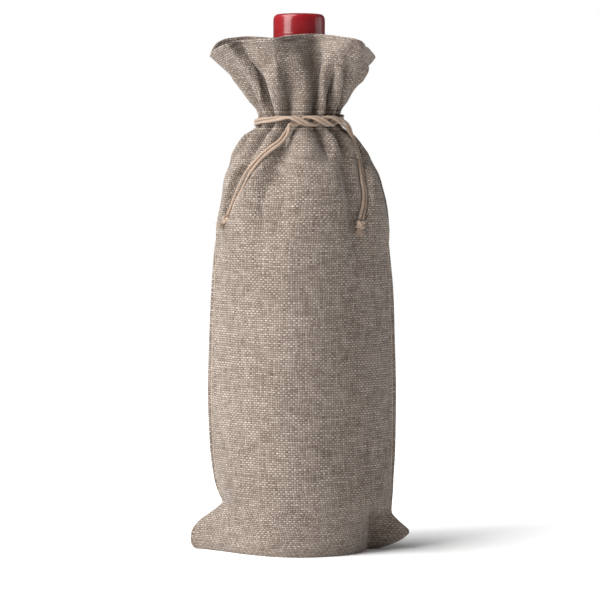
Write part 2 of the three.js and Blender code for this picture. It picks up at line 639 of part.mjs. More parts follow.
function glassGeometry() {
  const neckTop = BOTTLE_HEIGHT - LIP_HEIGHT;
  const outside = [
    ...GLASS_FOOT, [BOTTLE_RADIUS, GLASS_SIDE_FOOT],
    ...shoulderProfile(0),
    [NECK_RADIUS + 0.4, SHOULDER_END + LOWER_NECK_RISE], [NECK_RADIUS, SHOULDER_END + NECK_RISE],
    [NECK_RADIUS, neckTop], [NECK_RADIUS - 0.6, neckTop + LIP_HEIGHT / 2],
    [NECK_RADIUS - 1.8, neckTop + 0.83 * LIP_HEIGHT], [NECK_RADIUS - 2.9, BOTTLE_HEIGHT],
  ];
  const inside = [
    [BORE_RADIUS + BORE_FLARE, BOTTLE_HEIGHT], [BORE_RADIUS, BOTTLE_HEIGHT - CORK_DEPTH],
    [BORE_RADIUS, BOTTLE_HEIGHT - CORK_LENGTH - 4 * CORK_DEPTH],
    [NECK_ROOT_RADIUS - GLASS, SHOULDER_END + LOWER_NECK_RISE / 2],
    ...shoulderProfile(GLASS).reverse(),
    [BOTTLE_RADIUS - GLASS, GLASS_FLOOR_EDGE], ...[...GLASS_FLOOR].reverse(),
  ];
  return turned(raised([...outside, ...inside]));
}

// The wine fills the bottle to the lower neck and keeps a hair's breadth from the glass.
function wineGeometry() {
  const gap = 2 * SEAM_GAP;
  const inset = GLASS + gap;
  const profile = [
    ...GLASS_FLOOR.map(([radius, height]) => [radius, height + 2 * gap]),
    [BOTTLE_RADIUS - inset, GLASS_FLOOR_EDGE + gap],
    ...shoulderProfile(inset),
    [NECK_ROOT_RADIUS - inset, SHOULDER_END + LOWER_NECK_RISE / 2],
    [WINE_NECK_RADIUS, FILL_LEVEL], [0, FILL_LEVEL],
  ];
  return turned(raised(profile));
}

function corkGeometry() {
  const top = BOTTLE_HEIGHT - CORK_DEPTH;
  const foot = top - CORK_LENGTH;
  const radius = BORE_RADIUS - SEAM_GAP;
  return turned(raised([
    [0, foot], [radius - CORK_BEVEL, foot], [radius, foot + CORK_BEVEL],
    [radius, top - CORK_BEVEL], [radius - CORK_BEVEL, top], [0, top],
  ]));
}

// Shrunk foil sleeve round the neck, closed over the mouth by a separate pressed disc.
function capsuleSkirtGeometry() {
  const top = BOTTLE_HEIGHT + CAPSULE_FOIL;
  const inner = CAPSULE_RADIUS - CAPSULE_FOIL;
  const ring = top - CAPSULE_RING_DEPTH;
  return turned(raised([
    [inner, top - CAPSULE_LENGTH], [CAPSULE_RADIUS, top - CAPSULE_LENGTH],
    [CAPSULE_RADIUS, ring - CAPSULE_RING_HALF_WIDTH], [CAPSULE_RADIUS + CAPSULE_RING_RISE, ring],
    [CAPSULE_RADIUS, ring + CAPSULE_RING_HALF_WIDTH], [CAPSULE_RADIUS, top - 3],
    [CAPSULE_RADIUS - 0.4, top - 1.5], [CAPSULE_RADIUS - 1.4, top - 0.4],
    [CAPSULE_RADIUS - 1.4 - CAPSULE_FOIL, top - 0.7], [inner - 0.15, top - 1.8], [inner, top - 3.2],
    [inner, top - CAPSULE_LENGTH],
  ]));
}

function capsuleDiscGeometry() {
  const base = BOTTLE_HEIGHT + CAPSULE_FOIL;
  const radius = CAPSULE_RADIUS - 2.2;
  return turned(raised([
    [0, base], [radius, base], [radius, base + 0.4], [radius - 3, base + 0.8], [0, base + 0.95],
  ]));
}

addPart('bottle_glass', glassGeometry(), DARK_GLASS);
addPart('wine', wineGeometry(), WINE);
addPart('cork', corkGeometry(), CORK_OAK);
addPart('capsule_skirt', capsuleSkirtGeometry(), RED_FOIL);
addPart('capsule_disc', capsuleDiscGeometry(), RED_FOIL);

export default bag;
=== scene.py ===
# %% [markdown]
# # A linen wine gift bag, tied round a bottle
#
# The real thing is two rectangles of plain-weave cloth sewn into a sack, a bottle standing in it,
# and two cords that gather the cloth round the bottle's neck. Everything here is worked out in
# millimetres with numpy, as whole arrays, and put into meshes in metres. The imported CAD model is
# the fixed frame: it is loaded first and every new piece goes where the CAD piece stands.

# %% The frame
import json
import math

import bpy
import numpy as np
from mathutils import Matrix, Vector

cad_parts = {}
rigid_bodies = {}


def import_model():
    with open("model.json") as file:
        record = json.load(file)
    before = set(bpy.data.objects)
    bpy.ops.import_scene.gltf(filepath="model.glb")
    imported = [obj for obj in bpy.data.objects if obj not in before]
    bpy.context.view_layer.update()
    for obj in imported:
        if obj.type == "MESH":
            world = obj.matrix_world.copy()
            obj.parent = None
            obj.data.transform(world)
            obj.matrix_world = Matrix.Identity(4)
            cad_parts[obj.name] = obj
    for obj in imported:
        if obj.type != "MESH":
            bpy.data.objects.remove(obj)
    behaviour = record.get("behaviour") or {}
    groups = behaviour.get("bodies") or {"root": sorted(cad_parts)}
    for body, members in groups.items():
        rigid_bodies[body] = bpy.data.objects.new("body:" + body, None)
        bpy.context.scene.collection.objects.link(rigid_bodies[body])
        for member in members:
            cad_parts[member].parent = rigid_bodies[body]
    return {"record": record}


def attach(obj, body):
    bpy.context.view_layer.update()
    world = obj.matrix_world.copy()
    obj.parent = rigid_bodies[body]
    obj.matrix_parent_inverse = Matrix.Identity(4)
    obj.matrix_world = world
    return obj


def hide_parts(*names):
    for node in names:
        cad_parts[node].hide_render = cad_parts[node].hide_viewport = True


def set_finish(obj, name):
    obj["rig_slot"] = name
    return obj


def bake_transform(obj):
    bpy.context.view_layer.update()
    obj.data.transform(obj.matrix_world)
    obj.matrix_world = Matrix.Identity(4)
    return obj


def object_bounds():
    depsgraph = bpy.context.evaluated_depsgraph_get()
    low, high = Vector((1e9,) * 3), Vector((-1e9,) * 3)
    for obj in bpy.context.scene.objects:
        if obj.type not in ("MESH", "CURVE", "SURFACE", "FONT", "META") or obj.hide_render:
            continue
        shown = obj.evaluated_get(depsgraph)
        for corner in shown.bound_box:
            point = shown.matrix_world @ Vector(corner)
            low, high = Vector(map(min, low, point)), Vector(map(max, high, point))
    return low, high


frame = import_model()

MM = 0.001
CAD_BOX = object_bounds()
CAD_LOW, CAD_HIGH = np.array(CAD_BOX[0]) / MM, np.array(CAD_BOX[1]) / MM
print("CAD box in mm:", CAD_LOW.round(1), CAD_HIGH.round(1))

# %% [markdown]
# ## The camera
#
# A small product is photographed with a long lens from a couple of metres away, a little above the
# table, so that upright lines stay upright. The camera is as far off as a studio would put it, and
# looks down by the few degrees that put the bag's base and the bottle's top in the frame.

# %% Camera
CAMERA_DISTANCE = 1.650
CAMERA_HEIGHT = 0.230
LOOK_DOWN = math.radians(3.04)
LENS = 174.0

camera_data = bpy.data.cameras.new("camera")
camera_data.sensor_width = 36.0
camera_data.lens = LENS
camera = bpy.data.objects.new("camera", camera_data)
camera.location = (0.0005, -CAMERA_DISTANCE, CAMERA_HEIGHT)
camera.rotation_euler = (math.pi / 2 - LOOK_DOWN, 0.0, 0.0)
bpy.context.scene.collection.objects.link(camera)
bpy.context.scene.camera = camera
print("camera sees", round(36.0 / LENS * CAMERA_DISTANCE * 1000), "mm across at the bag")

# %% [markdown]
# ## Tools for surfaces and tubes
#
# Cloth is a grid of points with two directions, along the weft and along the warp, so one function
# turns any grid into a mesh and keeps its cloth coordinates as a UV map. Cord is a section carried
# along a path. The section is turned as little as possible from step to step, so that the braid
# runs straight along the cord.

# %% Mesh tools
def smoothstep(value, low, high):
    """0 below low, 1 above high, and 3t^2 - 2t^3 of the share t between them."""
    share = np.clip((value - low) / (high - low), 0.0, 1.0)
    return share * share * (3.0 - 2.0 * share)


def mesh_piece(name, points, faces, uv=None):
    """A smooth mesh object from arrays of points in mm and of faces. uv has one pair for each point."""
    mesh = bpy.data.meshes.new(name)
    faces = faces.tolist() if isinstance(faces, np.ndarray) else faces
    mesh.from_pydata((np.asarray(points, float) * MM).tolist(), [], faces)
    mesh.polygons.foreach_set("use_smooth", np.ones(len(mesh.polygons), bool))
    if uv is not None:
        corner = np.empty(len(mesh.loops), np.int32)
        mesh.loops.foreach_get("vertex_index", corner)
        layer = mesh.uv_layers.new(name="cloth")
        layer.data.foreach_set("uv", np.asarray(uv, np.float32)[corner].ravel())
    mesh.update()
    piece = bpy.data.objects.new(name, mesh)
    bpy.context.scene.collection.objects.link(piece)
    return piece


def grid_faces(rows, columns, wrap=False):
    """Four-cornered faces of a grid of points, row by row. wrap joins the last column to the first."""
    index = np.arange(rows * columns).reshape(rows, columns)
    right = np.roll(index, -1, axis=1) if wrap else index[:, 1:]
    left = index if wrap else index[:, :-1]
    return np.stack([left[:-1], right[:-1], right[1:], left[1:]], axis=-1).reshape(-1, 4)


def grid_normals(grid):
    """Unit normals of a grid: the direction along the columns crossed with the one along the rows."""
    across = np.gradient(grid, axis=1)
    up = np.gradient(grid, axis=0)
    normal = np.cross(across, up)
    return normal / np.maximum(np.linalg.norm(normal, axis=-1, keepdims=True), 1e-9)


def lengths_along(grid, axis):
    """Distance along the grid from its first row or column, added up step by step."""
    step = np.linalg.norm(np.diff(grid, axis=axis), axis=-1)
    start = np.zeros_like(np.take(step, [0], axis=axis))
    return np.concatenate([start, np.cumsum(step, axis=axis)], axis=axis)


def thicken(piece, thickness):
    """Gives a sheet its thickness, on the inner side."""
    solid = piece.modifiers.new("thickness", "SOLIDIFY")
    solid.thickness = thickness * MM
    solid.offset = -1.0
    solid.use_even_offset = False


def smooth_path(points, count):
    """A centripetal Catmull-Rom curve through the points, as count points evenly spaced along it."""
    p = np.asarray(points, float)
    p = np.vstack([2 * p[0] - p[1], p, 2 * p[-1] - p[-2]])
    knots = np.concatenate([[0.0], np.cumsum(np.linalg.norm(np.diff(p, axis=0), axis=1) ** 0.5)])
    fine = np.linspace(knots[1], knots[-2], 40 * len(p))
    span = np.clip(np.searchsorted(knots, fine, side="right") - 1, 1, len(p) - 3)
    t0, t1, t2, t3 = (knots[span + k][:, None] for k in (-1, 0, 1, 2))
    p0, p1, p2, p3 = (p[span + k] for k in (-1, 0, 1, 2))
    t = fine[:, None]
    a1 = (t1 - t) / (t1 - t0) * p0 + (t - t0) / (t1 - t0) * p1
    a2 = (t2 - t) / (t2 - t1) * p1 + (t - t1) / (t2 - t1) * p2
    a3 = (t3 - t) / (t3 - t2) * p2 + (t - t2) / (t3 - t2) * p3
    b1 = (t2 - t) / (t2 - t0) * a1 + (t - t0) / (t2 - t0) * a2
    b2 = (t3 - t) / (t3 - t1) * a2 + (t - t1) / (t3 - t1) * a3
    curve = (t2 - t) / (t2 - t1) * b1 + (t - t1) / (t2 - t1) * b2
    along = np.concatenate([[0.0], np.cumsum(np.linalg.norm(np.diff(curve, axis=0), axis=1))])
    even = np.linspace(0.0, along[-1], count)
    return np.stack([np.interp(even, along, curve[:, axis]) for axis in range(3)], axis=1)


def path_frames(path):
    """Tangent and two side directions at each point of a path. Each side direction is the one
    before it, made square to the new tangent, so the frame turns as little as it can."""
    tangent = np.gradient(path, axis=0)
    tangent /= np.linalg.norm(tangent, axis=1, keepdims=True)
    side = np.empty_like(path)
    start = np.cross(tangent[0], [0.3, 0.4, 1.0])
    side[0] = start / np.linalg.norm(start)
    for step in range(1, len(path)):
        turned = side[step - 1] - tangent[step] * np.dot(side[step - 1], tangent[step])
        side[step] = turned / np.linalg.norm(turned)
    return tangent, side, np.cross(tangent, side)


def tube_arrays(path, radius, sides):
    """Points, faces and UVs of a closed tube: at each path point a circle of the radius there.
    radius is one number, one for each path point, or one for each path point and side."""
    _, side, other = path_frames(path)
    angle = np.arange(sides) / sides * 2 * np.pi
    radius = np.broadcast_to(np.asarray(radius, float).reshape(-1, 1) if np.ndim(radius) < 2 else radius,
                             (len(path), sides))
    ring = (side[:, None, :] * np.cos(angle)[None, :, None]
            + other[:, None, :] * np.sin(angle)[None, :, None]) * radius[..., None]
    points = (path[:, None, :] + ring).reshape(-1, 3)
    faces = grid_faces(len(path), sides, wrap=True).tolist()
    along = lengths_along(path[:, None, :], 0)[:, 0]
    uv = np.stack(np.broadcast_arrays(angle[None, :] / (2 * np.pi), along[:, None]), axis=-1).reshape(-1, 2)
    last = (len(path) - 1) * sides
    faces += [list(range(sides - 1, -1, -1)), list(range(last, last + sides))]
    return points, faces, uv


print("tools ready")

# %% [markdown]
# ## The cords
#
# Two cords, each of one continuous braid 1.8 mm thick, run right round inside the channel. Each
# comes out at its own side as two strands, wraps over the front of the neck, and the two pairs wind
# round each other once in a half knot. The left cord then hangs down on the right, and the right
# cord on the left, each pair ending in an overhand knot with frayed tips. The routes are the ones
# the CAD model settles, so the same few numbers are repeated here: turn round the neck, radius,
# height and the direction in which the strands lie side by side.

# %% Cord routes
STRAND_DIAMETER = 1.8
PAIR_HALF_SPACING = 0.96
KNOT_LEFT, KNOT_RIGHT, KNOT_STEPS = -11.0, 52.0, 10
KNOT_RADIUS, KNOT_WIND_RADIUS, KNOT_HEIGHT = 27.4, 2.0, 243.9

LEFT_STANDING_ROUTE = [
    (-90, 23.6, 242.6, 90), (-82, 25.0, 243.1, 90), (-62, 24.9, 244.2, 100), (-40, 25.3, 244.8, 120),
    (-24, 26.2, 245.4, 150),
]
RIGHT_STANDING_ROUTE = [(90, 23.6, 246.2, 90), (82, 25.0, 245.9, 90), (66, 25.0, 244.6, 90)]

LEFT_CORD_LEADS = [
    [(26.6, -15.6, 243.0), (28.4, -13.4, 240.6)],
    [(25.6, -16.9, 241.2), (27.2, -15.2, 239.6)],
]
RIGHT_CORD_LEADS = [
    [(-6.1, -26.0, 240.4)],
    [(-5.5, -27.95, 240.2)],
]
LEFT_CORD_TAILS = [
    [(29.2, -11.9, 238.2), (30.8, -9.7, 233.5), (33.1, -10.5, 227.6), (35.0, -14.2, 219.0),
     (36.2, -18.1, 210.6), (37.5, -19.8, 202.2), (36.9, -22.0, 195.2), (35.4, -25.4, 189.4)],
    [(28.0, -13.9, 237.8), (30.0, -11.8, 233.5), (32.1, -12.5, 228.0), (33.8, -15.9, 219.6),
     (35.0, -19.8, 211.0), (36.1, -21.3, 202.6), (35.5, -23.7, 196.0), (33.8, -26.6, 189.6)],
]
RIGHT_CORD_TAILS = [
    [(-7.05, -26.25, 238.6), (-8.4, -27.1, 236.6), (-11.0, -28.2, 233.2), (-17.3, -27.6, 228.5),
     (-23.1, -25.9, 223.1), (-29.4, -22.6, 215.7), (-33.7, -20.0, 207.3), (-37.3, -17.1, 198.8),
     (-39.9, -15.3, 191.2)],
    [(-5.85, -27.75, 238.2), (-6.9, -28.4, 235.6), (-9.8, -29.5, 232.0), (-16.3, -28.9, 227.1),
     (-22.1, -27.4, 221.7), (-27.8, -25.1, 213.9), (-31.9, -23.0, 205.5), (-35.9, -19.5, 197.2),
     (-38.4, -17.1, 190.8)],
]
LEFT_CORD_KNOT, LEFT_CORD_KNOT_ENDS = np.array([34.3, -27.8, 186.2]), np.array([-0.15, -0.1, -1.0])
RIGHT_CORD_KNOT, RIGHT_CORD_KNOT_ENDS = np.array([-40.6, -17.4, 188.2]), np.array([-0.75, 0.2, -0.7])


def pair_points(route, strand):
    """Centres of one strand: the pair's centre at (turn, radius, height), moved half the pair's
    spacing in the direction lean, where 0 is outwards and 90 degrees is up."""
    turn, radius, height, lean = np.array(route, float).T
    turn, lean = np.radians(turn), np.radians(lean)
    reach = radius + strand * PAIR_HALF_SPACING * np.cos(lean)
    rise = height + strand * PAIR_HALF_SPACING * np.sin(lean)
    return np.stack([reach * np.sin(turn), -reach * np.cos(turn), rise], axis=1)


def half_knot_route(phase):
    """A turn and a quarter of a helix round an axis that runs along the front of the neck."""
    share = np.linspace(0.0, 1.0, KNOT_STEPS + 1)
    wind = 90.0 - 450.0 * share + phase
    turn = KNOT_LEFT + (KNOT_RIGHT - KNOT_LEFT) * share
    radius = KNOT_RADIUS + KNOT_WIND_RADIUS * np.cos(np.radians(wind))
    height = KNOT_HEIGHT + KNOT_WIND_RADIUS * np.sin(np.radians(wind))
    lean = wind + 90.0 if phase == 0 else wind - 90.0
    return np.stack([turn, radius, height, lean], axis=1)


def strand_route(side, index):
    """The whole visible run of one strand, from its slot in the casing to its end knot."""
    strand = 1 if index == 0 else -1
    if side == "left":
        band = pair_points([*LEFT_STANDING_ROUTE, *half_knot_route(0)], strand)
        rest = LEFT_CORD_LEADS[index] + LEFT_CORD_TAILS[index]
    else:
        band = pair_points([*RIGHT_STANDING_ROUTE, *half_knot_route(180)[::-1]], strand)
        rest = RIGHT_CORD_LEADS[index] + RIGHT_CORD_TAILS[index]
    return np.vstack([band, rest])


CORD_PATHS = {(side, index): smooth_path(strand_route(side, index), 420)
              for side in ("left", "right") for index in (0, 1)}
for key, path in CORD_PATHS.items():
    print(key, "strand is", round(float(lengths_along(path[:, None, :], 0)[-1, 0]), 1), "mm long")

# %% [markdown]
# ## Braided cord
#
# The cord is a round braid: two sets of strands wind round it in opposite directions and pass over
# and under each other. The mesh carries the ridges of the braid, and the material carries the
# filaments. The visible run of each strand, from its slot in the casing to its end knot, is one
# smooth tube. It stands for both of its CAD tubes, which are hidden.

# %% Braided strands
BRAID_TURN = 5.2         # length in which a strand winds once round the cord
BRAID_STRANDS = 4        # in each direction
BRAID_RELIEF = 0.10      # as a share of the radius
CORD_SIDES = 18


def braid_relief(share_round, along):
    """Height of the braid from 0 to 1. Each set of strands is cos^2 of its winding phase, raised
    where it passes over the other set and lowered where it passes under."""
    one = np.pi * BRAID_STRANDS * (share_round + along / BRAID_TURN)
    two = np.pi * BRAID_STRANDS * (share_round - along / BRAID_TURN)
    over = np.sin(one) * np.sin(two)
    return np.maximum(np.cos(one) ** 2 * (0.75 + 0.25 * over), np.cos(two) ** 2 * (0.75 - 0.25 * over))


def cord_arrays(path, diameter):
    along = lengths_along(path[:, None, :], 0)
    relief = braid_relief(np.arange(CORD_SIDES)[None, :] / CORD_SIDES, along)
    return tube_arrays(path, diameter / 2 * (1 + BRAID_RELIEF * (relief - 0.7)), CORD_SIDES)


CORD_PIECES = {}
for (side, index), path in CORD_PATHS.items():
    strand = ("first", "second")[index]
    points, faces, uv = cord_arrays(path, STRAND_DIAMETER)
    piece = mesh_piece(f"{side}_cord_{strand}_braid", points, faces, uv)
    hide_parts(f"{side}_cord_{strand}_strand", f"{side}_cord_{strand}_tail")
    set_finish(piece, "drawcord")
    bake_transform(piece)
    CORD_PIECES[side, index] = piece

# %% [markdown]
# ## End knots
#
# Both strands of a pair are tied together in one overhand knot, pulled tight, and fray below it.
# An overhand knot is a trefoil, x = sin t + 2 sin 2t, y = cos t - 2 cos 2t, z = -sin 3t, cut open at
# its ends. Two strands follow it side by side. The frayed tips are short bent fibres that spread.

# %% End knots
KNOT_SIZE = 0.70         # of the trefoil, whose lobes reach three units out
KNOT_LAY = 0.62          # half the distance between the two strands in the knot
FRAY_FIBRES, FRAY_LENGTH, FRAY_DIAMETER = 70, 5.4, 0.17


def merged(parts):
    """One set of points, faces and UVs from several."""
    counts = np.cumsum([0] + [len(points) for points, _, _ in parts])
    points = np.vstack([part[0] for part in parts])
    faces = [[corner + start for corner in face] for part, start in zip(parts, counts) for face in part[1]]
    return points, faces, np.vstack([part[2] for part in parts])


def knot_axes(ends, outward):
    """Three directions of a knot: the first runs across it, the second against its ends and the
    third out from the bag."""
    down = ends / np.linalg.norm(ends)
    out = outward - down * np.dot(outward, down)
    out /= np.linalg.norm(out)
    return np.stack([np.cross(-down, out), -down, out])


def end_knot(name, centre, ends, outward, seed):
    chance = np.random.default_rng(seed)
    axes = knot_axes(ends, outward)
    t = np.linspace(-0.47 * np.pi, 1.47 * np.pi, 260)
    trefoil = np.stack([np.sin(t) + 2 * np.sin(2 * t), np.cos(t) - 2 * np.cos(2 * t), -1.15 * np.sin(3 * t)],
                       axis=1)
    parts = []
    for strand in (-1, 1):
        aside = trefoil * KNOT_SIZE * np.array([1.0, 0.86, 1.0]) + np.array([0, 0, strand * KNOT_LAY])
        scale = 1 + strand * 0.04
        parts.append(cord_arrays(centre + (aside * scale) @ axes, STRAND_DIAMETER * 0.96))
    for fibre in range(FRAY_FIBRES):
        start = chance.normal(0, 0.55, 3) * [1, 0.2, 0.8] + [0, -1.9, 0]
        reach = FRAY_LENGTH * chance.uniform(0.6, 1.0)
        lean = chance.normal(0, 0.26, 3) * [1, 0, 1] + start * [0.28, 0, 0.28] + [0, -1, 0]
        bend = chance.normal(0, 0.22, 3) * [1, 0, 1]
        share = np.linspace(0, 1, 6)[:, None]
        line = start + (lean * share + bend * share ** 2) * reach
        width = FRAY_DIAMETER / 2 * (1.15 - 0.6 * share[:, 0])
        points, faces, uv = tube_arrays(centre + line @ axes, width, 4)
        parts.append((points, faces, uv))
    return mesh_piece(name, *merged(parts))


END_KNOTS = {
    "left": end_knot("left_cord_overhand_knot", LEFT_CORD_KNOT, LEFT_CORD_KNOT_ENDS,
                     np.array([0.75, -0.65, 0.1]), 3),
    "right": end_knot("right_cord_overhand_knot", RIGHT_CORD_KNOT, RIGHT_CORD_KNOT_ENDS,
                      np.array([-0.7, -0.7, 0.1]), 4),
}
for side, knot in END_KNOTS.items():
    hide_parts(f"{side}_cord_end_knot")
    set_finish(knot, "drawcord")
    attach(knot, f"{side}_cord_tail")
for (side, index), piece in CORD_PIECES.items():
    path = CORD_PATHS[side, index]
print("end knots with", FRAY_FIBRES, "fibres each")

# %% [markdown]
# ## The cords inside the channel
#
# Each cord runs once round the neck inside the casing, against the inner side of the gathers, and
# both of its ends turn out through the slot at its own side seam.

# %% Loops in the casing
LOOP_RADIUS, SLOT_RADIUS = 16.5, 23.7
LOOP_HEIGHTS = {"left": 242.6, "right": 246.2}


def loop_path(side):
    """A ring at one radius whose two ends curve out to the slot, one above the other."""
    exit_turn = -90.0 if side == "left" else 90.0
    turn = np.linspace(0, 360, 300)
    near = 1 - smoothstep(np.minimum(turn, 360 - turn), 0, 26)
    radius = LOOP_RADIUS + (SLOT_RADIUS - LOOP_RADIUS) * near
    apart = 1 - smoothstep(np.minimum(turn, 360 - turn), 10, 60)
    rise = np.where(turn < 180, 1, -1) * PAIR_HALF_SPACING * apart
    angle = np.radians(exit_turn + turn)
    return np.stack([radius * np.sin(angle), -radius * np.cos(angle), LOOP_HEIGHTS[side] + rise], axis=1)


for side in ("left", "right"):
    points, faces, uv = cord_arrays(loop_path(side), STRAND_DIAMETER)
    loop = mesh_piece(f"{side}_cord_loop", points, faces, uv)
    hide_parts(f"{side}_cord_in_casing")
    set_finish(loop, "drawcord")
    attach(loop, "bag")
    print(loop.name, round(float(lengths_along(loop_path(side)[:, None, :], 0)[-1, 0])), "mm long")

# %% [markdown]
# ## How the cloth finds its shape
#
# A woven panel hardly stretches, so every row across it is as long as the panel is wide: 139 mm
# between the side seams. Low down, the row simply lies round the bottle. Where the cords draw the
# bag in, the same 139 mm has to fit into 65 mm, and the rest goes into folds. So each row starts as
# a smooth section, a fold pattern pushes it in and out, and the depth of the folds is the one that
# gives the row its length, or the deepest that the bottle leaves room for. A row is found as a fine
# curve first and then divided evenly, so every column of the mesh follows one warp yarn. Cloth
# coordinates are arc lengths in metres.

# %% Sections of the filled bag
PANEL_WIDTH = 139.0
CLOTH = 0.9
BODY_STATIONS = np.array([
    # height, half width left, half width right, half depth, power of the section
    (0, 59.0, 45.0, 38.6, 3.0), (1.5, 61.0, 50.0, 38.9, 3.0), (4, 62.0, 56.5, 39.3, 3.0),
    (7, 62.1, 61.0, 39.5, 3.0), (9.5, 61.8, 63.2, 39.6, 3.0), (12, 60.6, 61.6, 39.6, 2.8),
    (16, 57.4, 57.0, 39.6, 2.6), (21.5, 50.0, 52.9, 39.7, 1.8), (27, 43.9, 53.2, 39.7, 1.4),
    (32, 46.0, 53.6, 39.7, 1.5),
    (40, 48.5, 54.0, 39.8, 1.6), (60, 51.0, 55.0, 39.8, 2.0), (90, 52.0, 55.3, 39.8, 2.0),
    (120, 51.3, 54.6, 39.8, 2.0), (145, 50.2, 53.8, 39.8, 2.0), (168, 48.6, 51.8, 39.8, 1.8),
    (186, 45.8, 49.6, 39.4, 1.5), (199, 42.6, 46.4, 37.4, 1.25), (211, 39.9, 42.2, 33.6, 1.15),
    (222, 36.0, 36.6, 30.0, 1.1), (231, 31.4, 31.8, 27.6, 1.05), (236, 27.2, 27.4, 25.4, 1.0),
    (238.5, 23.4, 23.4, 23.4, 1.0), (241, 20.8, 20.8, 20.8, 1.0), (244, 19.8, 19.8, 19.8, 1.0),
    (247, 19.7, 19.7, 19.7, 1.0), (250.2, 20.4, 20.4, 20.4, 1.0),
])
EDGE_HALF_THICKNESS = 0.7
FLANGE_WIDTH = 4.5       # of the side seam, where the two panels lie flat on each other
GROOVE_DEPTH, GROOVE_WIDTH, GROOVE_FROM_EDGE = 1.0, 1.2, 4.6     # beside the flange
EAR_THICKNESS = 7.0      # of the right-hand corner where it meets the bottle
EAR_HEIGHTS = (12.0, 34.0)   # that corner is fully flat below the first and gone above the second
CASING_BOTTOM, CASING_TOP = 238.5, 250.2
BOTTLE_BASE, BOTTLE_RADIUS, NECK_ROOT_RADIUS = 2.7, 37.8, 15.4
SHOULDER_START, SHOULDER_RISE, SHOULDER_ROUNDNESS = 178.0, 45.0, 1.4    # above the bottle's base
BOTTLE_LIFT, GLASS_ROOM = 8.0, 1.35     # how far the bottle can be lifted, and the cloth's own room
KEPT_OFF_ABOVE = 140.0
FINE = 1600              # points in a row before it is divided evenly
COLUMNS = 210


def smooth_table(x, xs, ys):
    """Smooth curve through a table. Cubic Hermite pieces, with each slope the harmonic mean of the
    slopes on its two sides, or zero at a peak, so the curve never overshoots the table."""
    xs, ys = np.asarray(xs, float), np.asarray(ys, float)
    gap = np.diff(xs)
    slope = np.diff(ys) / gap
    product = slope[:-1] * slope[1:]
    total = np.where(np.abs(slope[:-1] + slope[1:]) < 1e-12, 1.0, slope[:-1] + slope[1:])
    inner = np.where(product > 0, 2 * product / total, 0.0)
    slopes = np.concatenate([[slope[0]], inner, [slope[-1]]])
    x = np.clip(np.asarray(x, float), xs[0], xs[-1])
    piece = np.clip(np.searchsorted(xs, x, side="right") - 1, 0, len(gap) - 1)
    h, t = gap[piece], (x - xs[piece]) / gap[piece]
    return ((1 + 2 * t) * (1 - t) ** 2 * ys[piece] + t * (1 - t) ** 2 * h * slopes[piece]
            + t * t * (3 - 2 * t) * ys[piece + 1] + t * t * (t - 1) * h * slopes[piece + 1])


# Turn round the neck of each ridge and hollow of the gathers, from the left seam to the right one.
# A ridge has a whole number as its phase and a hollow a half.
FRONT_GATHERS = [(-90, -0.35), (-82, 0), (-70, 0.5), (-58, 1), (-45, 1.5), (-32, 2), (-15, 2.5), (7, 3),
                 (25, 3.5), (36, 4), (46, 4.5), (58, 5), (70, 5.5), (80, 6), (90, 6.35)]
BACK_GATHERS = [(-90, -0.35), (-79, 0), (-66, 0.5), (-50, 1), (-36, 1.5), (-24, 2), (-12, 2.5), (1, 3),
                (14, 3.5), (27, 4), (39, 4.5), (52, 5), (67, 5.5), (80, 6), (90, 6.35)]
# Broad folds of the shoulder, where several gathers run together.
FRONT_SHOULDER = [(-90, 0.62), (-56, 1), (-38, 1.15), (-20, 1.5), (0, 1.85), (25, 2.06), (38, 2.5), (64, 3),
                  (90, 3.4)]
BACK_SHOULDER = [(-90, -0.4), (-58, 0), (-34, 0.5), (-10, 1), (12, 1.5), (38, 2), (56, 2.5), (74, 3),
                 (90, 3.4)]


def folds(turn, table, softness):
    """Fold pattern from -1 in the hollows to 1 on the ridges: 2 sqrt(cos^2 + softness) - 1 of the
    phase, which is broad and round on a ridge and pinched in a hollow."""
    angles, phases = np.array(table, float).T
    phase = smooth_table(turn, angles, phases)
    return 2 * np.sqrt((np.cos(np.pi * phase) ** 2 + softness) / (1 + softness)) - 1


def row_lengths(rows):
    """Length of each row of points."""
    return np.linalg.norm(np.diff(rows, axis=1), axis=-1).sum(axis=1)


def push_out(rows, amount):
    """Moves each point of each row level with the ground, square to the row, by the amount."""
    along = np.gradient(rows, axis=1)
    out = np.stack([along[..., 1], -along[..., 0], np.zeros(along.shape[:2])], axis=-1)
    out /= np.maximum(np.linalg.norm(out, axis=-1, keepdims=True), 1e-9)
    return rows + out * amount[..., None]


def fold_to_width(rows, pattern, width, deepest):
    """Deepens the folds of each row until the row is as long as the width asked for, by halving
    the interval between no depth and the deepest allowed."""
    low, high = np.zeros(len(rows)), np.broadcast_to(deepest, len(rows)).astype(float).copy()
    for _ in range(22):
        middle = (low + high) / 2
        short = row_lengths(push_out(rows, pattern * middle[:, None])) < width
        low, high = np.where(short, middle, low), np.where(short, high, middle)
    return push_out(rows, pattern * low[:, None]), low


def divide_evenly(rows, columns):
    """The same rows as so many points each, evenly spaced along the row."""
    along = lengths_along(rows, 1)
    share = along / along[:, -1:]
    even = np.linspace(0.0, 1.0, columns)
    return np.stack([
        np.stack([np.interp(even, share[row], rows[row, :, axis]) for axis in range(3)], axis=-1)
        for row in range(len(rows))
    ])


def cloth_uv(grid):
    """Cloth coordinates in metres: along the weft from the middle of the row, and along the warp."""
    across = lengths_along(grid, 1)
    across -= across[:, -1:] / 2
    up = lengths_along(grid, 0).mean(axis=1, keepdims=True)
    return np.stack([across, np.broadcast_to(up, across.shape)], axis=-1).reshape(-1, 2) * MM


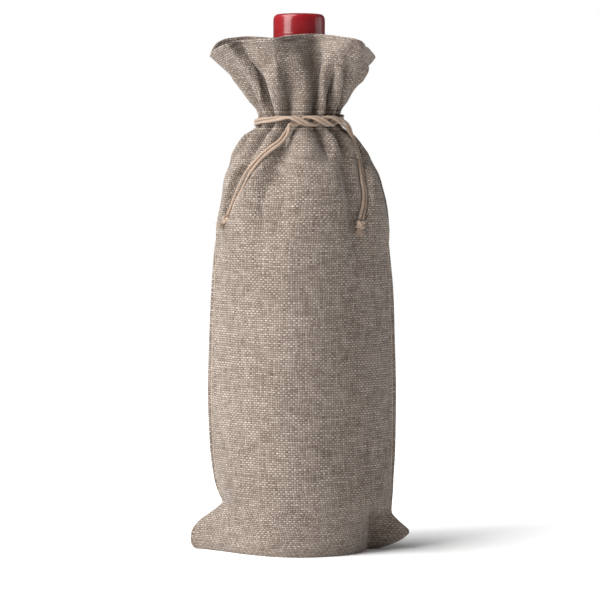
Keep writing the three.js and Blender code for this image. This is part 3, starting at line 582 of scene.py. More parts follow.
def keep_off_bottle(rows):
    """Cloth lies on the glass in the hollows. A point nearer the axis than the bottle's shoulder,
    lifted as far as it goes and with the cloth's own room, moves straight out to it. The shoulder's
    radius is neck + (body - neck) (1 + cos(pi share^roundness)) / 2 of the share climbed."""
    height = rows[..., 2] - BOTTLE_BASE - BOTTLE_LIFT
    share = np.clip((height - SHOULDER_START) / SHOULDER_RISE, 0, 1) ** SHOULDER_ROUNDNESS
    glass = NECK_ROOT_RADIUS + (BOTTLE_RADIUS - NECK_ROOT_RADIUS) * (0.5 + 0.5 * np.cos(np.pi * share))
    radius = np.hypot(rows[..., 0], rows[..., 1])
    out = np.maximum((glass + GLASS_ROOM) / np.maximum(radius, 1e-6), 1.0)
    out = np.where(height > KEPT_OFF_ABOVE, out, 1.0)
    return rows * np.stack([out, out, np.ones_like(out)], axis=-1)


def body_rows(heights, face):
    """Folded rows of one panel from the floor to the top of the casing. The section at a height is
    x = w sin(t), y = e + (d - e) cos(t)^p, with a flange at each side where the two panels lie flat
    on each other. The right-hand bottom corner is a flat wing outside the round of the bottle."""
    turn = np.linspace(-90, 90, FINE)
    left, right, depth, power = (smooth_table(heights, BODY_STATIONS[:, 0], BODY_STATIONS[:, k])[:, None]
                                 for k in (1, 2, 3, 4))
    t = np.radians(turn)[None, :]
    x = np.where(t < 0, left, right) * np.sin(t)
    cosine = np.clip(np.cos(t), 0, 1)
    y = EDGE_HALF_THICKNESS + (depth - EDGE_HALF_THICKNESS) * cosine ** power
    wing = EDGE_HALF_THICKNESS + EAR_THICKNESS * (1 - np.abs(x) / np.where(t < 0, left, right))
    hug = np.sqrt(np.maximum(depth ** 2 - x ** 2, 0))
    low = (1 - smoothstep(heights, *EAR_HEIGHTS)[:, None]) * smoothstep(t, -0.1, 0.6)
    y = y + (np.sqrt(hug ** 2 + wing ** 2) - y) * low
    from_edge = np.minimum(x + left, right - x)
    sewn = (smoothstep(heights, 14.0, 34.0) * (1 - smoothstep(heights, 205.0, 232.0)))[:, None]
    flange = 1 - (1 - smoothstep(from_edge, 0.0, FLANGE_WIDTH)) * sewn
    pulled = (smoothstep(heights, 20.0, 40.0) * (1 - smoothstep(heights, 195.0, 215.0)))[:, None]
    groove = GROOVE_DEPTH * np.exp(-((from_edge - GROOVE_FROM_EDGE) / GROOVE_WIDTH) ** 2) * pulled
    y = EDGE_HALF_THICKNESS + np.maximum((y - EDGE_HALF_THICKNESS) * flange - groove, 0)
    rows = np.stack(np.broadcast_arrays(x, -y, heights[:, None]), axis=-1)
    gathers, shoulder = ((FRONT_GATHERS, FRONT_SHOULDER) if face < 0 else (BACK_GATHERS, BACK_SHOULDER))
    high = smoothstep(heights, 214.0, 236.0)[:, None]
    pattern = folds(turn, gathers, 0.03)[None, :] * high + folds(turn, shoulder, 0.15)[None, :] * (1 - high)
    smooth_length = row_lengths(rows)
    share = smooth_table(heights, [0, 140, 165, 180, 190, 205, 215, 260], [0, 0, 0.4, 1.3, 1.5, 1.2, 1, 1])
    width = smooth_length + np.maximum(PANEL_WIDTH - smooth_length, 0) * share
    deepest = smooth_table(heights, [0, 165, 182, 192, 205, 220, 236, 240, 243, 247, 250.2],
                           [0.6, 0.9, 3.4, 5.0, 6.2, 6.4, 5.0, 4.0, 3.7, 3.7, 4.0])
    rows, depths = fold_to_width(rows, pattern, width, deepest)
    return keep_off_bottle(rows) * np.array([1, -face, 1]), depths


print("section at mid height is", BODY_STATIONS[13, 1] + BODY_STATIONS[13, 2], "mm wide")

# %% [markdown]
# ## Cloth gives way to cord
#
# A taut cord sinks into soft cloth. Wherever a cord runs closer than its own radius and half the
# cloth's loft, the cloth is pressed inwards, and the dent fades out over a few millimetres.

# %% Pressing the cloth in under the cords
CORD_POINTS = np.vstack([path[::3] for path in CORD_PATHS.values()])
CORD_WELL_INSIDE = 6.0   # cloth this far outside a cord belongs to another part of the bag
DEEPEST_DENT = 4.5


def press_under_cords(grid, outward, clearance=1.15, reach=3.6):
    """Moves points away from the cords, against the outward direction. A point nearer to a cord's
    centre line than the clearance goes in by what is missing, and the dent fades over the reach."""
    flat, out = grid.reshape(-1, 3), outward.reshape(-1, 3)
    dent = np.zeros(len(flat))
    for chunk in np.array_split(CORD_POINTS, 12):
        gap = flat[:, None, :] - chunk[None, :, :]
        height = np.einsum("pcx,px->pc", gap, out)
        aside = np.sqrt(np.maximum((gap ** 2).sum(axis=-1) - height ** 2, 0))
        under = np.sqrt(np.maximum(clearance ** 2 - np.minimum(aside, clearance) ** 2, 0))
        fade = 1 - smoothstep(aside, clearance * 0.6, reach)
        near = (height > -3.0 * clearance) & (height <= CORD_WELL_INSIDE) & (aside < reach)
        need = np.where(near, (height + under) * fade, 0)
        dent = np.maximum(dent, need.max(axis=1))
    return grid - (out * np.clip(dent, 0, DEEPEST_DENT)[:, None]).reshape(grid.shape)


def slow_wobble(grid, size, scale, seed):
    """Gentle unevenness of the cloth: a sum of eight waves of random direction, each about one
    scale long, added along the outward direction."""
    chance = np.random.default_rng(seed)
    direction = chance.normal(size=(8, 3))
    direction /= np.linalg.norm(direction, axis=1, keepdims=True)
    phase = chance.uniform(0, 2 * np.pi, 8)
    wave = np.sin(2 * np.pi / scale * (grid @ direction.T) + phase).sum(axis=-1) / np.sqrt(8)
    return wave * size


print("cords are", len(CORD_POINTS), "points for the cloth to give way to")

# %% [markdown]
# ## The two body panels
#
# Each panel starts at the bottom seam under the bottle, turns up at the base and climbs to the
# channel. The bag is cut wider than the bottle, so at the bottom the corners stick out flat on each
# side as two ears.

# %% Body panels
BODY_ROWS = np.concatenate([[0, 1.2, 2.4], np.linspace(4, 200, 120), np.linspace(201, CASING_BOTTOM, 46)])


def panel_grid(face):
    rows, depths = body_rows(BODY_ROWS, face)
    grid = divide_evenly(rows, COLUMNS)
    normal = grid_normals(grid) * -face
    wobble = slow_wobble(grid, 0.35, 46.0, 5 if face < 0 else 9) + slow_wobble(grid, 0.12, 15.0, 6)
    fade = smoothstep(BODY_ROWS, 12.0, 40.0)[:, None] * (1 - smoothstep(BODY_ROWS, 225.0, 238.0))[:, None]
    edge = np.minimum(np.arange(COLUMNS), np.arange(COLUMNS)[::-1])[None, :]
    grid = grid + normal * (wobble * fade * smoothstep(edge, 3, 14))[..., None]
    grid = press_under_cords(grid, grid_normals(grid) * -face)
    grid = keep_off_bottle(grid)
    under = np.linspace(0.02, 0.96, 22)[:, None, None]
    seam = grid[:1] * np.array([1.0, 0.0, 1.0]) + np.array([0, face * 0.15, 0])
    floor = seam + (grid[:1] - seam) * under
    floor[..., 2] = 0.0
    return np.concatenate([floor, grid]), depths


def cloth_piece(name, grid, face, thickness=CLOTH):
    faces = grid_faces(*grid.shape[:2])
    if face > 0:
        faces = faces[:, ::-1]
    piece = mesh_piece(name, grid.reshape(-1, 3), faces, cloth_uv(grid))
    if thickness:
        thicken(piece, thickness)
    return piece


PANEL_GRIDS = {}
for side_name, face in (("front", -1), ("back", 1)):
    PANEL_GRIDS[side_name], fold_depths = panel_grid(face)
    panel = cloth_piece(f"{side_name}_panel_cloth", PANEL_GRIDS[side_name], face)
    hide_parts(f"{side_name}_panel")
    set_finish(panel, "linen")
    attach(panel, "bag")

# %% [markdown]
# ## The gathered channel
#
# The casing is a band of the same cloth, 12 mm high, between two rows of stitching. It carries on
# the gathers of the panel below it, at their deepest.

# %% Casing
CASING_ROWS = np.linspace(CASING_BOTTOM, CASING_TOP, 22)
CASING_GRIDS = {}
for side_name, face in (("front", -1), ("back", 1)):
    grid = divide_evenly(body_rows(CASING_ROWS, face)[0], COLUMNS)
    grid = press_under_cords(grid, grid_normals(grid) * -face)
    grid[0] = PANEL_GRIDS[side_name][-1]
    CASING_GRIDS[side_name] = grid
    casing = cloth_piece(f"{side_name}_casing_cloth", grid, face)
    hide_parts(f"{side_name}_casing")
    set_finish(casing, "linen")
    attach(casing, "bag")
    print(side_name, "casing row is", row_lengths(grid)[10].round(1), "mm along its folds")

# %% [markdown]
# ## The ruffle
#
# Above the cords the header is free, so the gathers open out upwards and melt into a few broad
# waves at the rim. The rim is a fold, so the cloth goes up on the outside, turns over in a half
# round and comes down on the inside to its hem.

# %% Header
# Rim of each half: turn round the neck of the yarn below, and where the rim is: across, depth, height.
FRONT_RIM = [
    (-90, -50.6, -2.5, 280.6), (-77, -47.0, -13.5, 283.4), (-63, -40.0, -24.0, 286.2),
    (-50, -32.5, -15.5, 288.4), (-38, -24.0, -27.0, 288.6), (-27, -14.5, -37.0, 288.8),
    (-12, -6.0, -29.0, 290.4), (4, 1.5, -20.0, 291.8), (19, 9.0, -15.5, 292.2), (38, 20.0, -26.0, 290.6),
    (58, 30.0, -36.0, 288.4), (76, 35.6, -33.5, 286.6), (90, 37.4, -25.0, 285.2),
]
BACK_RIM = [
    (-90, -50.6, -2.5, 280.6), (-76, -48.0, 9.0, 286.6), (-60, -40.5, 19.0, 290.8),
    (-42, -29.0, 21.5, 292.0), (-24, -15.0, 20.0, 291.2), (-6, -2.0, 24.5, 290.0), (12, 12.0, 27.5, 289.0),
    (30, 25.0, 24.5, 287.2), (46, 35.0, 16.5, 283.6), (60, 41.0, 6.5, 280.6), (72, 43.2, -4.0, 279.6),
    (82, 41.0, -14.0, 282.0), (90, 37.4, -25.0, 285.2),
]
HEADER_THICKNESS = 1.7
HEADER_RISE = np.linspace(0, 1, 46) ** 0.9
RIM_ROUND = np.linspace(0, np.pi, 9)[1:-1]
WAVE_TURN = 46.0         # of the small waves that take up slack at the rim
LEAN_OUT = 1.12          # power of the rise with which the ruffle leans out


def header_grid(face, foot_row):
    """Outside of the ruffle as a grid. A point is on the straight line from the foot of its yarn to
    the rim, leaning out by the rise to the power 1.12, and folded until the row has its width."""
    turn = np.linspace(-90, 90, FINE)
    t = np.radians(turn)
    rim_table = np.array(FRONT_RIM if face < 0 else BACK_RIM)
    rim = np.stack([smooth_table(turn, rim_table[:, 0], rim_table[:, k]) for k in (1, 2, 3)], axis=-1)
    rim[:, 1] *= -face
    radius = BODY_STATIONS[-1, 1]
    foot = np.stack([radius * np.sin(t), -radius * np.cos(t), np.full(FINE, CASING_TOP)], axis=-1)
    rise = HEADER_RISE[:, None, None]
    lean = rise ** LEAN_OUT
    rows = foot[None] + (rim - foot)[None] * np.concatenate([lean, lean, rise], axis=-1)
    gathers = folds(turn, FRONT_GATHERS if face < 0 else BACK_GATHERS, 0.03)[None, :]
    at_seam = smoothstep(90 - np.abs(turn), 0, 12)
    broad = (np.cos(2 * np.pi * (turn / WAVE_TURN + (0.1 if face < 0 else 0.35))) * at_seam)[None, :]
    high = smoothstep(HEADER_RISE, 0.30, 0.85)[:, None]
    pattern = gathers * (1 - high) + broad * high
    width = PANEL_WIDTH * smooth_table(HEADER_RISE, [0, 0.4, 1], [1, 0.97, 0.985])
    deepest = smooth_table(HEADER_RISE, [0, 0.12, 0.3, 0.5, 0.75, 1], [4.0, 4.6, 6.0, 5.6, 3.2, 0.8])
    rows, depths = fold_to_width(rows, pattern, width, deepest)
    rows = rows * np.array([1, -face, 1])
    grid = divide_evenly(rows, COLUMNS)
    blend_in = (1 - smoothstep(HEADER_RISE, 0.0, 0.06))[:, None, None]
    return grid * (1 - blend_in) + (foot_row[None] + (grid - grid[:1])) * blend_in, depths


def fold_over(outer, face):
    """The header's outside, its rounded rim and its inside, as one grid. The inside is the outside
    moved one thickness inwards, and the rim is a half circle between them."""
    normal = grid_normals(outer) * -face
    edge = np.minimum(np.arange(COLUMNS), np.arange(COLUMNS)[::-1])[None, :, None]
    gap = HEADER_THICKNESS * (0.25 + 0.75 * smoothstep(edge, 0, 8))
    up = outer[-1] - outer[-2]
    up /= np.linalg.norm(up, axis=-1, keepdims=True)
    middle = outer[-1] - normal[-1] * gap[0] / 2
    turns = RIM_ROUND[:, None, None]
    rim = middle[None] + (normal[-1][None] * np.cos(turns) + up[None] * np.sin(turns)) * gap[0][None] / 2
    return np.concatenate([outer, rim, (outer - normal * gap)[::-1]])


HEADER_GRIDS = {}
for side_name, face in (("front", -1), ("back", 1)):
    outer, fold_depths = header_grid(face, CASING_GRIDS[side_name][-1])
    normal = grid_normals(outer) * -face
    rise = smoothstep(HEADER_RISE, 0.15, 0.7)[:, None]
    edge = np.minimum(np.arange(COLUMNS), np.arange(COLUMNS)[::-1])[None, :]
    wobble = slow_wobble(outer, 0.45, 30.0, 12 if face < 0 else 15) + slow_wobble(outer, 0.15, 11.0, 16)
    outer = outer + normal * (wobble * rise * smoothstep(edge, 2, 20))[..., None]
    HEADER_GRIDS[side_name] = outer
    header = cloth_piece(f"{side_name}_header_cloth", fold_over(outer, face), face, None)
    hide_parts(f"{side_name}_header")
    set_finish(header, "linen")
    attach(header, "bag")
    tall = float(lengths_along(outer, 0)[-1].mean())
    print(side_name, "header is", round(tall), "mm tall; its rim", row_lengths(outer)[-1].round(1), "mm long")

# %% [markdown]
# ## Seams and stitching
#
# A machine stitch is a thread that comes up, lies on the cloth for about 3 mm and goes down again.
# The rows follow the finished cloth, so each is a line taken from the cloth's own grid, lifted by a
# rounded wave and sunk a little at every needle hole.

# %% Stitches
STITCH, THREAD_RADIUS = 3.1, 0.24
STITCH_FROM_SEAM = 3.0
STITCHED_HEIGHTS = (30, 206)     # between the ear and the shoulder, where the seam is seen


def stitch_row(name, line, normal, body, *nodes):
    """A thread along a line on the cloth. Its height is a |sin| wave of one stitch per arch, to the
    power 0.6, less the depth of the needle holes."""
    along = lengths_along(line[:, None, :], 0)[:, 0]
    even = np.arange(0, along[-1], STITCH / 9)
    place = np.stack([np.interp(even, along, line[:, k]) for k in range(3)], axis=1)
    out = np.stack([np.interp(even, along, normal[:, k]) for k in range(3)], axis=1)
    rise = 0.36 * np.abs(np.sin(np.pi * even / STITCH)) ** 0.6 - 0.16
    points, faces, uv = tube_arrays(place + out * rise[:, None], THREAD_RADIUS, 6)
    piece = mesh_piece(name, points, faces, uv)
    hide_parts(*nodes)
    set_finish(piece, "sewing_thread")
    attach(piece, body)
    return round(even[-1] / STITCH)


def along_column(grid, distance, side, face):
    """The line down a panel at a distance from its left or right edge, and the cloth's normal there."""
    normal = grid_normals(grid) * -face
    across = lengths_along(grid, 1)
    target = distance if side < 0 else across[:, -1] - distance
    step = np.clip(np.argmax(across > np.reshape(target, (-1, 1)), axis=1), 1, grid.shape[1] - 1)
    row = np.arange(len(grid))
    span = across[row, step] - across[row, step - 1]
    share = ((target - across[row, step - 1]) / np.maximum(span, 1e-6))[:, None]
    return grid[row, step - 1] * (1 - share) + grid[row, step] * share, normal[row, step]


front = PANEL_GRIDS["front"]
tall = (front[:, 0, 2] > STITCHED_HEIGHTS[0]) & (front[:, 0, 2] < STITCHED_HEIGHTS[1])
for side_name, side in (("left", -1), ("right", 1)):
    line, normal = along_column(front, STITCH_FROM_SEAM, side, -1)
    count = stitch_row(f"{side_name}_side_stitches", line[tall], normal[tall], "bag",
                       f"{side_name}_side_stitching")
    print(side_name, "side seam has", count, "stitches")
for side_name, face in (("front", -1), ("back", 1)):
    grid = CASING_GRIDS[side_name]
    normal = grid_normals(grid) * -face
    for row_name, row in (("lower", 2), ("upper", len(grid) - 3)):
        stitch_row(f"{side_name}_{row_name}_casing_stitches", grid[row, 5:-5], normal[row, 5:-5], "bag",
                   f"{side_name}_{row_name}_casing_stitching")
print("casing stitches done")

# %% [markdown]
# ## The capsule and the bottle
#
# The capsule is a shrunk foil sleeve, glossy, with one fine raised ring below its rounded top and a
# small wrinkle where the shrinking left too much foil. The profile is carried round the axis, and
# the wrinkle is added to the radius. The bottle, its wine and its cork are the CAD pieces, because
# turned shapes with hard edges are already right there.

# %% Capsule
BOTTLE_HEIGHT, FOIL_ABOVE_GLASS = 301.5, 0.85
CAPSULE_RADIUS, CAPSULE_LENGTH = 14.65, 60.0
CAPSULE_TOP = BOTTLE_BASE + BOTTLE_HEIGHT + FOIL_ABOVE_GLASS
CAPSULE_PROFILE = [
    # radius, distance below the top
    (5.0, 0.08), (9.0, 0.22), (11.8, 0.45), (13.1, 0.85), (13.95, 1.6), (14.45, 2.7),
    *((CAPSULE_RADIUS + rise, depth) for rise, depth in (
        (0, 4.4), (0, 8.0), (0, 11.2), (0, 11.45), (0.15, 11.8), (0, 12.15), (0, 12.4), (0, 13.0),
        (0.18, 13.35), (0, 13.7), (0, 14.1), (0, 24.0), (0, 40.0), (0, CAPSULE_LENGTH))),
]
CAPSULE_WRINKLES = [
    # turn, depth, width, height, rise
    (41.0, 2.6, 2.6, 0.9, 0.55), (47.0, 3.4, 2.0, 1.3, 0.35), (33.0, 2.2, 5.0, 0.8, 0.18),
    (38.0, 6.0, 2.0, 2.6, 0.10),
]
CAPSULE_RINGS, CAPSULE_SIDES = 260, 192


def capsule_arrays():
    """Rings of the profile round the axis. Each wrinkle is a bell in turn times a bell in depth,
    standing out of the shoulder on the right."""
    radius, depth = smooth_path([(r, d, 0) for r, d in CAPSULE_PROFILE], CAPSULE_RINGS)[:, :2].T
    turn = np.arange(CAPSULE_SIDES) / CAPSULE_SIDES * 360.0
    wrinkle = np.zeros((len(radius), CAPSULE_SIDES))
    for at_turn, at_depth, width, height, rise in CAPSULE_WRINKLES:
        aside, below = (turn[None] - at_turn) / width, (depth[:, None] - at_depth) / height
        wrinkle += rise * np.exp(-aside ** 2 - below ** 2)
    ripple = 0.03 * np.sin(np.radians(turn) * 5 + 1)[None] * smoothstep(depth, 8, 30)[:, None]
    r = radius[:, None] + wrinkle + ripple
    angle, level = np.radians(turn)[None], CAPSULE_TOP - depth[:, None]
    points = np.stack(np.broadcast_arrays(r * np.sin(angle), -r * np.cos(angle), level), axis=-1)
    faces = grid_faces(len(radius), CAPSULE_SIDES, wrap=True)[:, ::-1].tolist()
    points = np.vstack([points.reshape(-1, 3), [[0, 0, CAPSULE_TOP]]])
    faces += [[step, (step + 1) % CAPSULE_SIDES, len(points) - 1] for step in range(CAPSULE_SIDES)]
    return points, faces


capsule = mesh_piece("capsule_foil", *capsule_arrays())
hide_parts("capsule_skirt", "capsule_disc")
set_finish(capsule, "capsule_foil")
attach(capsule, "bottle")
print("capsule top at", round(CAPSULE_TOP, 2), "mm")

# %% [markdown]
# ## Materials
#
# Every finish is built from shader nodes. A few short helpers keep the node code readable: one
# makes an empty material, one adds a node, one does arithmetic on sockets, and one joins a colour
# and a relief to the shader and sets the shader's own numbers.

# %% Node helpers
def new_material(name):
    material = bpy.data.materials.new(name)
    material.use_nodes = True
    return material, material.node_tree, material.node_tree.nodes["Principled BSDF"]


def add(tree, kind, settings=(), **inputs):
    """Adds a node. settings are its own properties; inputs are sockets to link or values to set,
    by name, or by number as i0, i1 and so on."""
    item = tree.nodes.new(kind)
    for key, value in dict(settings).items():
        setattr(item, key, value)
    for key, value in inputs.items():
        numbered = key[0] == "i" and key[1:].isdigit()
        socket = item.inputs[int(key[1:]) if numbered else key.replace("_", " ")]
        if isinstance(value, bpy.types.NodeSocket):
            tree.links.new(value, socket)
        else:
            socket.default_value = value
    return item


def calc(tree, operation, first, second=0.0, third=0.0):
    return add(tree, "ShaderNodeMath", {"operation": operation}, i0=first, i1=second, i2=third).outputs[0]


def noise(tree, vector, scale, detail=2.0, roughness=0.5):
    return add(tree, "ShaderNodeTexNoise", {}, Vector=vector, Scale=scale, Detail=detail,
               Roughness=roughness).outputs["Fac"]


def ramp(tree, value, stops):
    item = add(tree, "ShaderNodeValToRGB", {}, Fac=value)
    line = item.color_ramp
    while len(line.elements) < len(stops):
        line.elements.new(0.5)
    for element, (place, colour) in zip(line.elements, stops):
        element.position = place
        element.color = (*colour, 1.0)
    return item.outputs["Color"]


def tint(tree, first, second):
    return add(tree, "ShaderNodeMix", {"data_type": "RGBA", "blend_type": "MULTIPLY"}, i0=1.0, i6=first,
               i7=second).outputs[2]


def cloth_place(tree):
    return add(tree, "ShaderNodeUVMap", {"uv_map": "cloth"}).outputs[0]


def object_place(tree):
    return add(tree, "ShaderNodeTexCoord").outputs["Object"]


def split(tree, vector):
    return add(tree, "ShaderNodeSeparateXYZ", {}, i0=vector).outputs


def finish_surface(tree, shader, colour, relief=None, strength=0.0, distance=0.0, **numbers):
    """Joins a colour and a relief to the shader and sets its own sockets, by name, to numbers."""
    tree.links.new(colour, shader.inputs["Base Color"])
    if relief is not None:
        bump = add(tree, "ShaderNodeBump", {}, Strength=strength, Distance=distance, Height=relief)
        tree.links.new(bump.outputs[0], shader.inputs["Normal"])
    for socket, value in numbers.items():
        shader.inputs[socket.replace("_", " ")].default_value = value


print("helpers ready")

# %% [markdown]
# ### Linen
#
# The cloth is a plain weave of thick uneven yarns, about 1.4 mm apart across and 1.26 mm up, spun
# from beige and brown fibres. Each yarn's height is 0.6 |sin| of its own phase plus or minus 0.4 of
# the product of both sines, which puts it over one neighbour and under the next. The higher yarn
# shows. Every yarn has its own tone, which drifts along it. The holes between yarns get a painted
# shade, and the weft floats are painted lighter and the warp floats darker, as light from the upper
# left would show them.

# %% Linen material
WARP_PITCH, WEFT_PITCH = 1.40 * MM, 1.26 * MM
YARN_DARK, YARN_BROWN, YARN_BEIGE, YARN_CREAM = (
    (0.140, 0.108, 0.089), (0.220, 0.182, 0.156), (0.310, 0.268, 0.236), (0.430, 0.387, 0.348))
# Painted light and shade: warp floats are darkened and weft floats lightened, as light from the upper left
# would show them.
WARP_PAINTED_SHADE, WEFT_PAINTED_LIGHT = (0.80, 0.76, 0.73), (1.10, 1.095, 1.08)
# Painted shade: the holes between yarns are darkened to a warm brown.
HOLE_PAINTED_SHADE, NO_TINT = (0.25, 0.205, 0.175), (1.0, 1.0, 1.0)
YARN_WANDER = 1.6 * MM   # how far a yarn strays from its line
SLUBS = 110.0            # changes of shade in a metre of yarn
YARN_APART = 3.7         # step in the noise from one yarn to the next, so that they aren't alike


def linen(name, brightness):
    material, tree, shader = new_material(name)
    cloth = cloth_place(tree)
    drift = add(tree, "ShaderNodeTexNoise", {}, Vector=cloth, Scale=70.0, Detail=2.0).outputs["Color"]
    across, up, _ = split(tree, add(tree, "ShaderNodeVectorMath", {"operation": "MULTIPLY_ADD"}, i0=drift,
                                    i1=(YARN_WANDER, YARN_WANDER, 0.0), i2=cloth).outputs[0])
    warp, weft = calc(tree, "DIVIDE", across, WARP_PITCH), calc(tree, "DIVIDE", up, WEFT_PITCH)
    warp_sine, weft_sine = (calc(tree, "SINE", calc(tree, "MULTIPLY", yarn, math.pi))
                            for yarn in (warp, weft))
    both = calc(tree, "MULTIPLY", calc(tree, "MULTIPLY", warp_sine, weft_sine), 0.4)
    warp_height = calc(tree, "MULTIPLY_ADD", calc(tree, "ABSOLUTE", warp_sine), 0.6, both)
    weft_height = calc(tree, "SUBTRACT", calc(tree, "MULTIPLY", calc(tree, "ABSOLUTE", weft_sine), 0.6), both)
    height = calc(tree, "MAXIMUM", warp_height, weft_height)
    warp_on_top = calc(tree, "GREATER_THAN", warp_height, weft_height)

    warp_number, weft_number = (calc(tree, "MULTIPLY", calc(tree, "FLOOR", yarn), YARN_APART)
                                for yarn in (warp, weft))
    warp_line = add(tree, "ShaderNodeCombineXYZ", {}, X=warp_number, Y=calc(tree, "MULTIPLY", up, SLUBS))
    weft_line = add(tree, "ShaderNodeCombineXYZ", {}, X=calc(tree, "MULTIPLY", across, SLUBS),
                    Y=weft_number, Z=9.0)
    warp_shade, weft_shade = (noise(tree, line.outputs[0], 1.0, 3.0, 0.65) for line in (warp_line, weft_line))
    shade = add(tree, "ShaderNodeMix", {"data_type": "FLOAT"}, i0=warp_on_top, i2=weft_shade, i3=warp_shade)
    yarn = ramp(tree, shade.outputs[0],
                [(0.27, YARN_DARK), (0.42, YARN_BROWN), (0.54, YARN_BEIGE), (0.72, YARN_CREAM)])
    fibres = noise(tree, cloth, 2600.0)
    colour = yarn
    for layer in (
        # painted light and shade of the warp and weft floats
        ramp(tree, warp_on_top, [(0.0, WEFT_PAINTED_LIGHT), (1.0, WARP_PAINTED_SHADE)]),
        # painted shade in the holes between yarns
        ramp(tree, height, [(0.22, HOLE_PAINTED_SHADE), (0.60, NO_TINT)]),
        ramp(tree, fibres, [(0.3, (0.80, 0.79, 0.78)), (0.7, (1.12, 1.12, 1.12))]),
        ramp(tree, noise(tree, cloth, 24.0, 3.0), [(0.3, (0.90, 0.89, 0.88)), (0.7, (1.06, 1.06, 1.07))]),
    ):
        colour = tint(tree, colour, layer)
    level = add(tree, "ShaderNodeVectorMath", {"operation": "SCALE"}, i0=colour, Scale=brightness).outputs[0]
    finish_surface(tree, shader, level, calc(tree, "MULTIPLY_ADD", fibres, 0.25, height), 0.9, 0.00034,
                   Roughness=0.93, Specular_IOR_Level=0.18, Sheen_Weight=0.15, Sheen_Roughness=0.45)
    return material


LINEN = linen("linen_cloth", 1.0)
# The inside is a copy of the linen at 0.8 brightness: painted shade.
LINEN_INSIDE = linen("linen_raw_edges", 0.8)
print("linen:", len(LINEN.node_tree.nodes), "nodes")

# %% [markdown]
# ### Cord and thread
#
# The braid's colour follows its relief, with a painted shade a little darker where strands dip, and
# fine filaments that lie along each strand. Sewing thread is two plies twisted together, and a painted
# shade, darker in the groove between the plies, runs round it in a helix.

# %% Cord and thread materials
CORD_LIGHT, CORD_DARK = (0.43, 0.315, 0.235), (0.19, 0.128, 0.092)
THREAD_LIGHT, THREAD_DARK = (0.50, 0.41, 0.32), (0.26, 0.20, 0.15)
THREAD_TWIST = 0.9 * MM


def braided(name):
    material, tree, shader = new_material(name)
    around, length, _ = split(tree, cloth_place(tree))
    along = calc(tree, "DIVIDE", length, BRAID_TURN * MM)
    ridges = []
    for operation in ("ADD", "SUBTRACT"):
        wind = calc(tree, "MULTIPLY", calc(tree, operation, around, along), math.pi * BRAID_STRANDS)
        ridges.append(calc(tree, "ABSOLUTE", calc(tree, "COSINE", wind)))
    ridge = calc(tree, "MAXIMUM", *ridges)
    place = object_place(tree)
    filaments, slow = noise(tree, place, 2400.0), noise(tree, place, 110.0)
    # Painted shade: the colour is darker where the strands dip and lighter on their ridges, over the
    # filaments' own tone.
    level = calc(tree, "MULTIPLY_ADD", calc(tree, "ADD", filaments, slow), 0.35,
                 calc(tree, "MULTIPLY", ridge, 0.55))
    finish_surface(tree, shader, ramp(tree, level, [(0.45, CORD_DARK), (0.98, CORD_LIGHT)]),
                   calc(tree, "MULTIPLY_ADD", filaments, 0.5, ridge), 0.6, 0.00016,
                   Roughness=0.62, Specular_IOR_Level=0.35, Sheen_Weight=0.2)
    return material


def twisted_thread(name):
    material, tree, shader = new_material(name)
    around, length, _ = split(tree, cloth_place(tree))
    helix = calc(tree, "MULTIPLY_ADD", length, 1.0 / THREAD_TWIST, around)
    ply = calc(tree, "ABSOLUTE", calc(tree, "SINE", calc(tree, "MULTIPLY", helix, 2 * math.pi)))
    fibre = noise(tree, object_place(tree), 3200.0)
    # Painted shade: darker in the groove between the plies, over the fibres' own tone.
    level = calc(tree, "MULTIPLY_ADD", fibre, 0.5, calc(tree, "MULTIPLY", ply, 0.6))
    finish_surface(tree, shader, ramp(tree, level, [(0.2, THREAD_DARK), (0.8, THREAD_LIGHT)]), ply, 0.5,
                   0.0001, Roughness=0.7)
    return material


DRAWCORD = braided("drawcord_braid")
SEWING_THREAD = twisted_thread("sewing_thread_twist")
print("cord and thread ready")

# %% [markdown]
# ### Foil, glass, wine and cork
#
# Shrink foil is a red plastic film with a clear glossy skin: the gloss comes from a coat over a
# slightly rougher base, and faint ripples keep its reflections from being perfectly straight.

# %% Capsule, glass, wine and cork materials
FOIL_REDS = [(0.3, (0.20, 0.007, 0.010)), (0.7, (0.25, 0.009, 0.013))]
GLASS_GREENS = [(0.3, (0.035, 0.075, 0.03)), (0.7, (0.05, 0.10, 0.04))]
WINE_REDS = [(0.3, (0.10, 0.004, 0.012)), (0.7, (0.14, 0.006, 0.016))]
CORK_BROWNS = [(0.3, (0.34, 0.19, 0.09)), (0.7, (0.58, 0.38, 0.21))]
CORK_PITS = [(0.05, (0.25, 0.2, 0.16)), (0.25, NO_TINT)]


def red_foil():
    material, tree, shader = new_material("capsule_red_foil")
    place = object_place(tree)
    patches = noise(tree, place, 60.0, 3.0)
    ripples = calc(tree, "MULTIPLY_ADD", noise(tree, place, 900.0), 0.15, noise(tree, place, 90.0))
    finish_surface(tree, shader, ramp(tree, patches, FOIL_REDS), ripples, 0.25, 0.0004,
                   Specular_IOR_Level=0.3, Coat_Weight=0.35, Coat_Roughness=0.12)
    tree.links.new(calc(tree, "MULTIPLY_ADD", patches, 0.10, 0.22), shader.inputs["Roughness"])
    return material


def bottle_green():
    material, tree, shader = new_material("bottle_dark_green_glass")
    seeds = noise(tree, object_place(tree), 45.0, 3.0)
    finish_surface(tree, shader, ramp(tree, seeds, GLASS_GREENS), seeds, 0.1, 0.0006,
                   Roughness=0.06, IOR=1.52, Transmission_Weight=0.85)
    return material


def red_wine():
    material, tree, shader = new_material("red_wine")
    cloud = noise(tree, object_place(tree), 30.0)
    finish_surface(tree, shader, ramp(tree, cloud, WINE_REDS), Roughness=0.05, IOR=1.34,
                   Transmission_Weight=0.4)
    return material


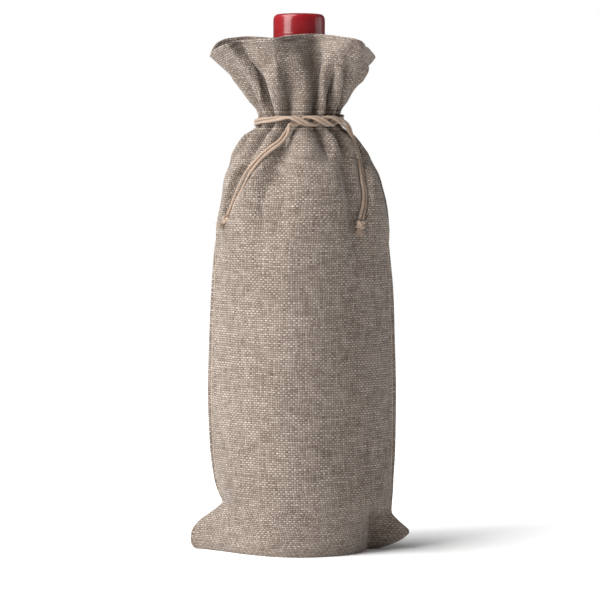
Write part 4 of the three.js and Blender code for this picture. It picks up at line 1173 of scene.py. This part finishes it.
def oak_cork():
    material, tree, shader = new_material("oak_cork")
    place = object_place(tree)
    grain = noise(tree, place, 420.0, 4.0, 0.6)
    pits = add(tree, "ShaderNodeTexVoronoi", {}, Vector=place, Scale=520.0).outputs["Distance"]
    colour = tint(tree, ramp(tree, grain, CORK_BROWNS), ramp(tree, pits, CORK_PITS))
    finish_surface(tree, shader, colour, pits, 0.5, 0.0003, Roughness=0.85)
    return material


SLOT_MATERIALS = {
    "linen": LINEN, "linen_inside": LINEN_INSIDE, "drawcord": DRAWCORD, "sewing_thread": SEWING_THREAD,
    "capsule_foil": red_foil(), "bottle_glass": bottle_green(), "wine": red_wine(), "cork": oak_cork(),
}
slot_of_node = {part["node"]: part["material_slot"] for part in frame["record"]["subparts"]}
for item in bpy.context.scene.objects:
    name = item.get("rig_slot") or slot_of_node.get(item.name)
    if item.type == "MESH" and name in SLOT_MATERIALS:
        item.data.materials.clear()
        item.data.materials.append(SLOT_MATERIALS[name])
print("materials:", sorted(SLOT_MATERIALS))

# %% [markdown]
# ## Floor and light
#
# A pale floor, a broad soft box to the left of the camera that wraps light round the bag, a weak one
# far round to the right that only draws the edge of the shadow side, and a very broad ceiling light
# that leans in from the left, keeps the floor white and leaves the cloth's hollows dark. The room
# adds a little light from everywhere, and the backdrop behind the bag is white.

# %% Floor
FLOOR_HALF = 3000.0


def pale_floor():
    corners = [(x * FLOOR_HALF, y * FLOOR_HALF, 0) for x, y in ((-1, -1), (1, -1), (1, 1), (-1, 1))]
    floor = mesh_piece("studio_floor", corners, [[0, 1, 2, 3]])
    material, _, shader = new_material("pale_floor")
    shader.inputs["Base Color"].default_value = (0.95, 0.95, 0.95, 1)
    shader.inputs["Roughness"].default_value = 0.9
    shader.inputs["Specular IOR Level"].default_value = 0.1
    floor.data.materials.append(material)


pale_floor()
print("floor is", 2 * FLOOR_HALF * MM, "m across")

# %% Lights
LIT_POINT = (0, 0, 0.17)     # the boxes face the middle of the bag


def soft_box(name, azimuth, height, distance, width, tall, power, colour=(1, 1, 1)):
    """A rectangle of light that faces the bag. Azimuth 0 is at the camera and grows to the right."""
    data = bpy.data.lights.new(name, "AREA")
    data.shape = "RECTANGLE"
    data.size, data.size_y = width, tall
    data.energy = power
    data.color = colour
    item = bpy.data.objects.new(name, data)
    turn = math.radians(azimuth)
    item.location = (distance * math.sin(turn), -distance * math.cos(turn), height)
    aim = np.array(LIT_POINT) - np.array(item.location)
    tilt = math.acos(-aim[2] / np.linalg.norm(aim))
    item.rotation_euler = (tilt, 0, math.atan2(aim[1], aim[0]) - math.pi / 2)
    item.visible_camera = False
    bpy.context.scene.collection.objects.link(item)
    return item


AMBIENT_LEVEL = 0.11     # light from the pale room, against the white backdrop behind
BACKDROP_LEVEL = 1.0
soft_box("key_soft_box", -54, 0.70, 1.15, 0.75, 1.0, 21.0, (1.0, 0.99, 0.975))
soft_box("fill_soft_box", 100, 0.45, 1.2, 0.9, 0.8, 3.0, (0.97, 0.98, 1.0))

ceiling = bpy.data.lights.new("ceiling_light", "SUN")
ceiling.energy = 3.6
ceiling.angle = math.radians(48)
ceiling_item = bpy.data.objects.new("ceiling_light", ceiling)
ceiling_item.rotation_euler = (math.radians(5), math.radians(-31), 0)
bpy.context.scene.collection.objects.link(ceiling_item)

world = bpy.data.worlds.new("studio")
world.use_nodes = True
surroundings = world.node_tree.nodes["Background"]
surroundings.inputs["Color"].default_value = (1.0, 1.0, 1.0, 1)
seen = add(world.node_tree, "ShaderNodeLightPath").outputs["Is Camera Ray"]
strength = calc(world.node_tree, "MULTIPLY_ADD", seen, BACKDROP_LEVEL - AMBIENT_LEVEL, AMBIENT_LEVEL)
world.node_tree.links.new(strength, surroundings.inputs["Strength"])
bpy.context.scene.world = world
bpy.context.scene.view_settings.view_transform = "Standard"
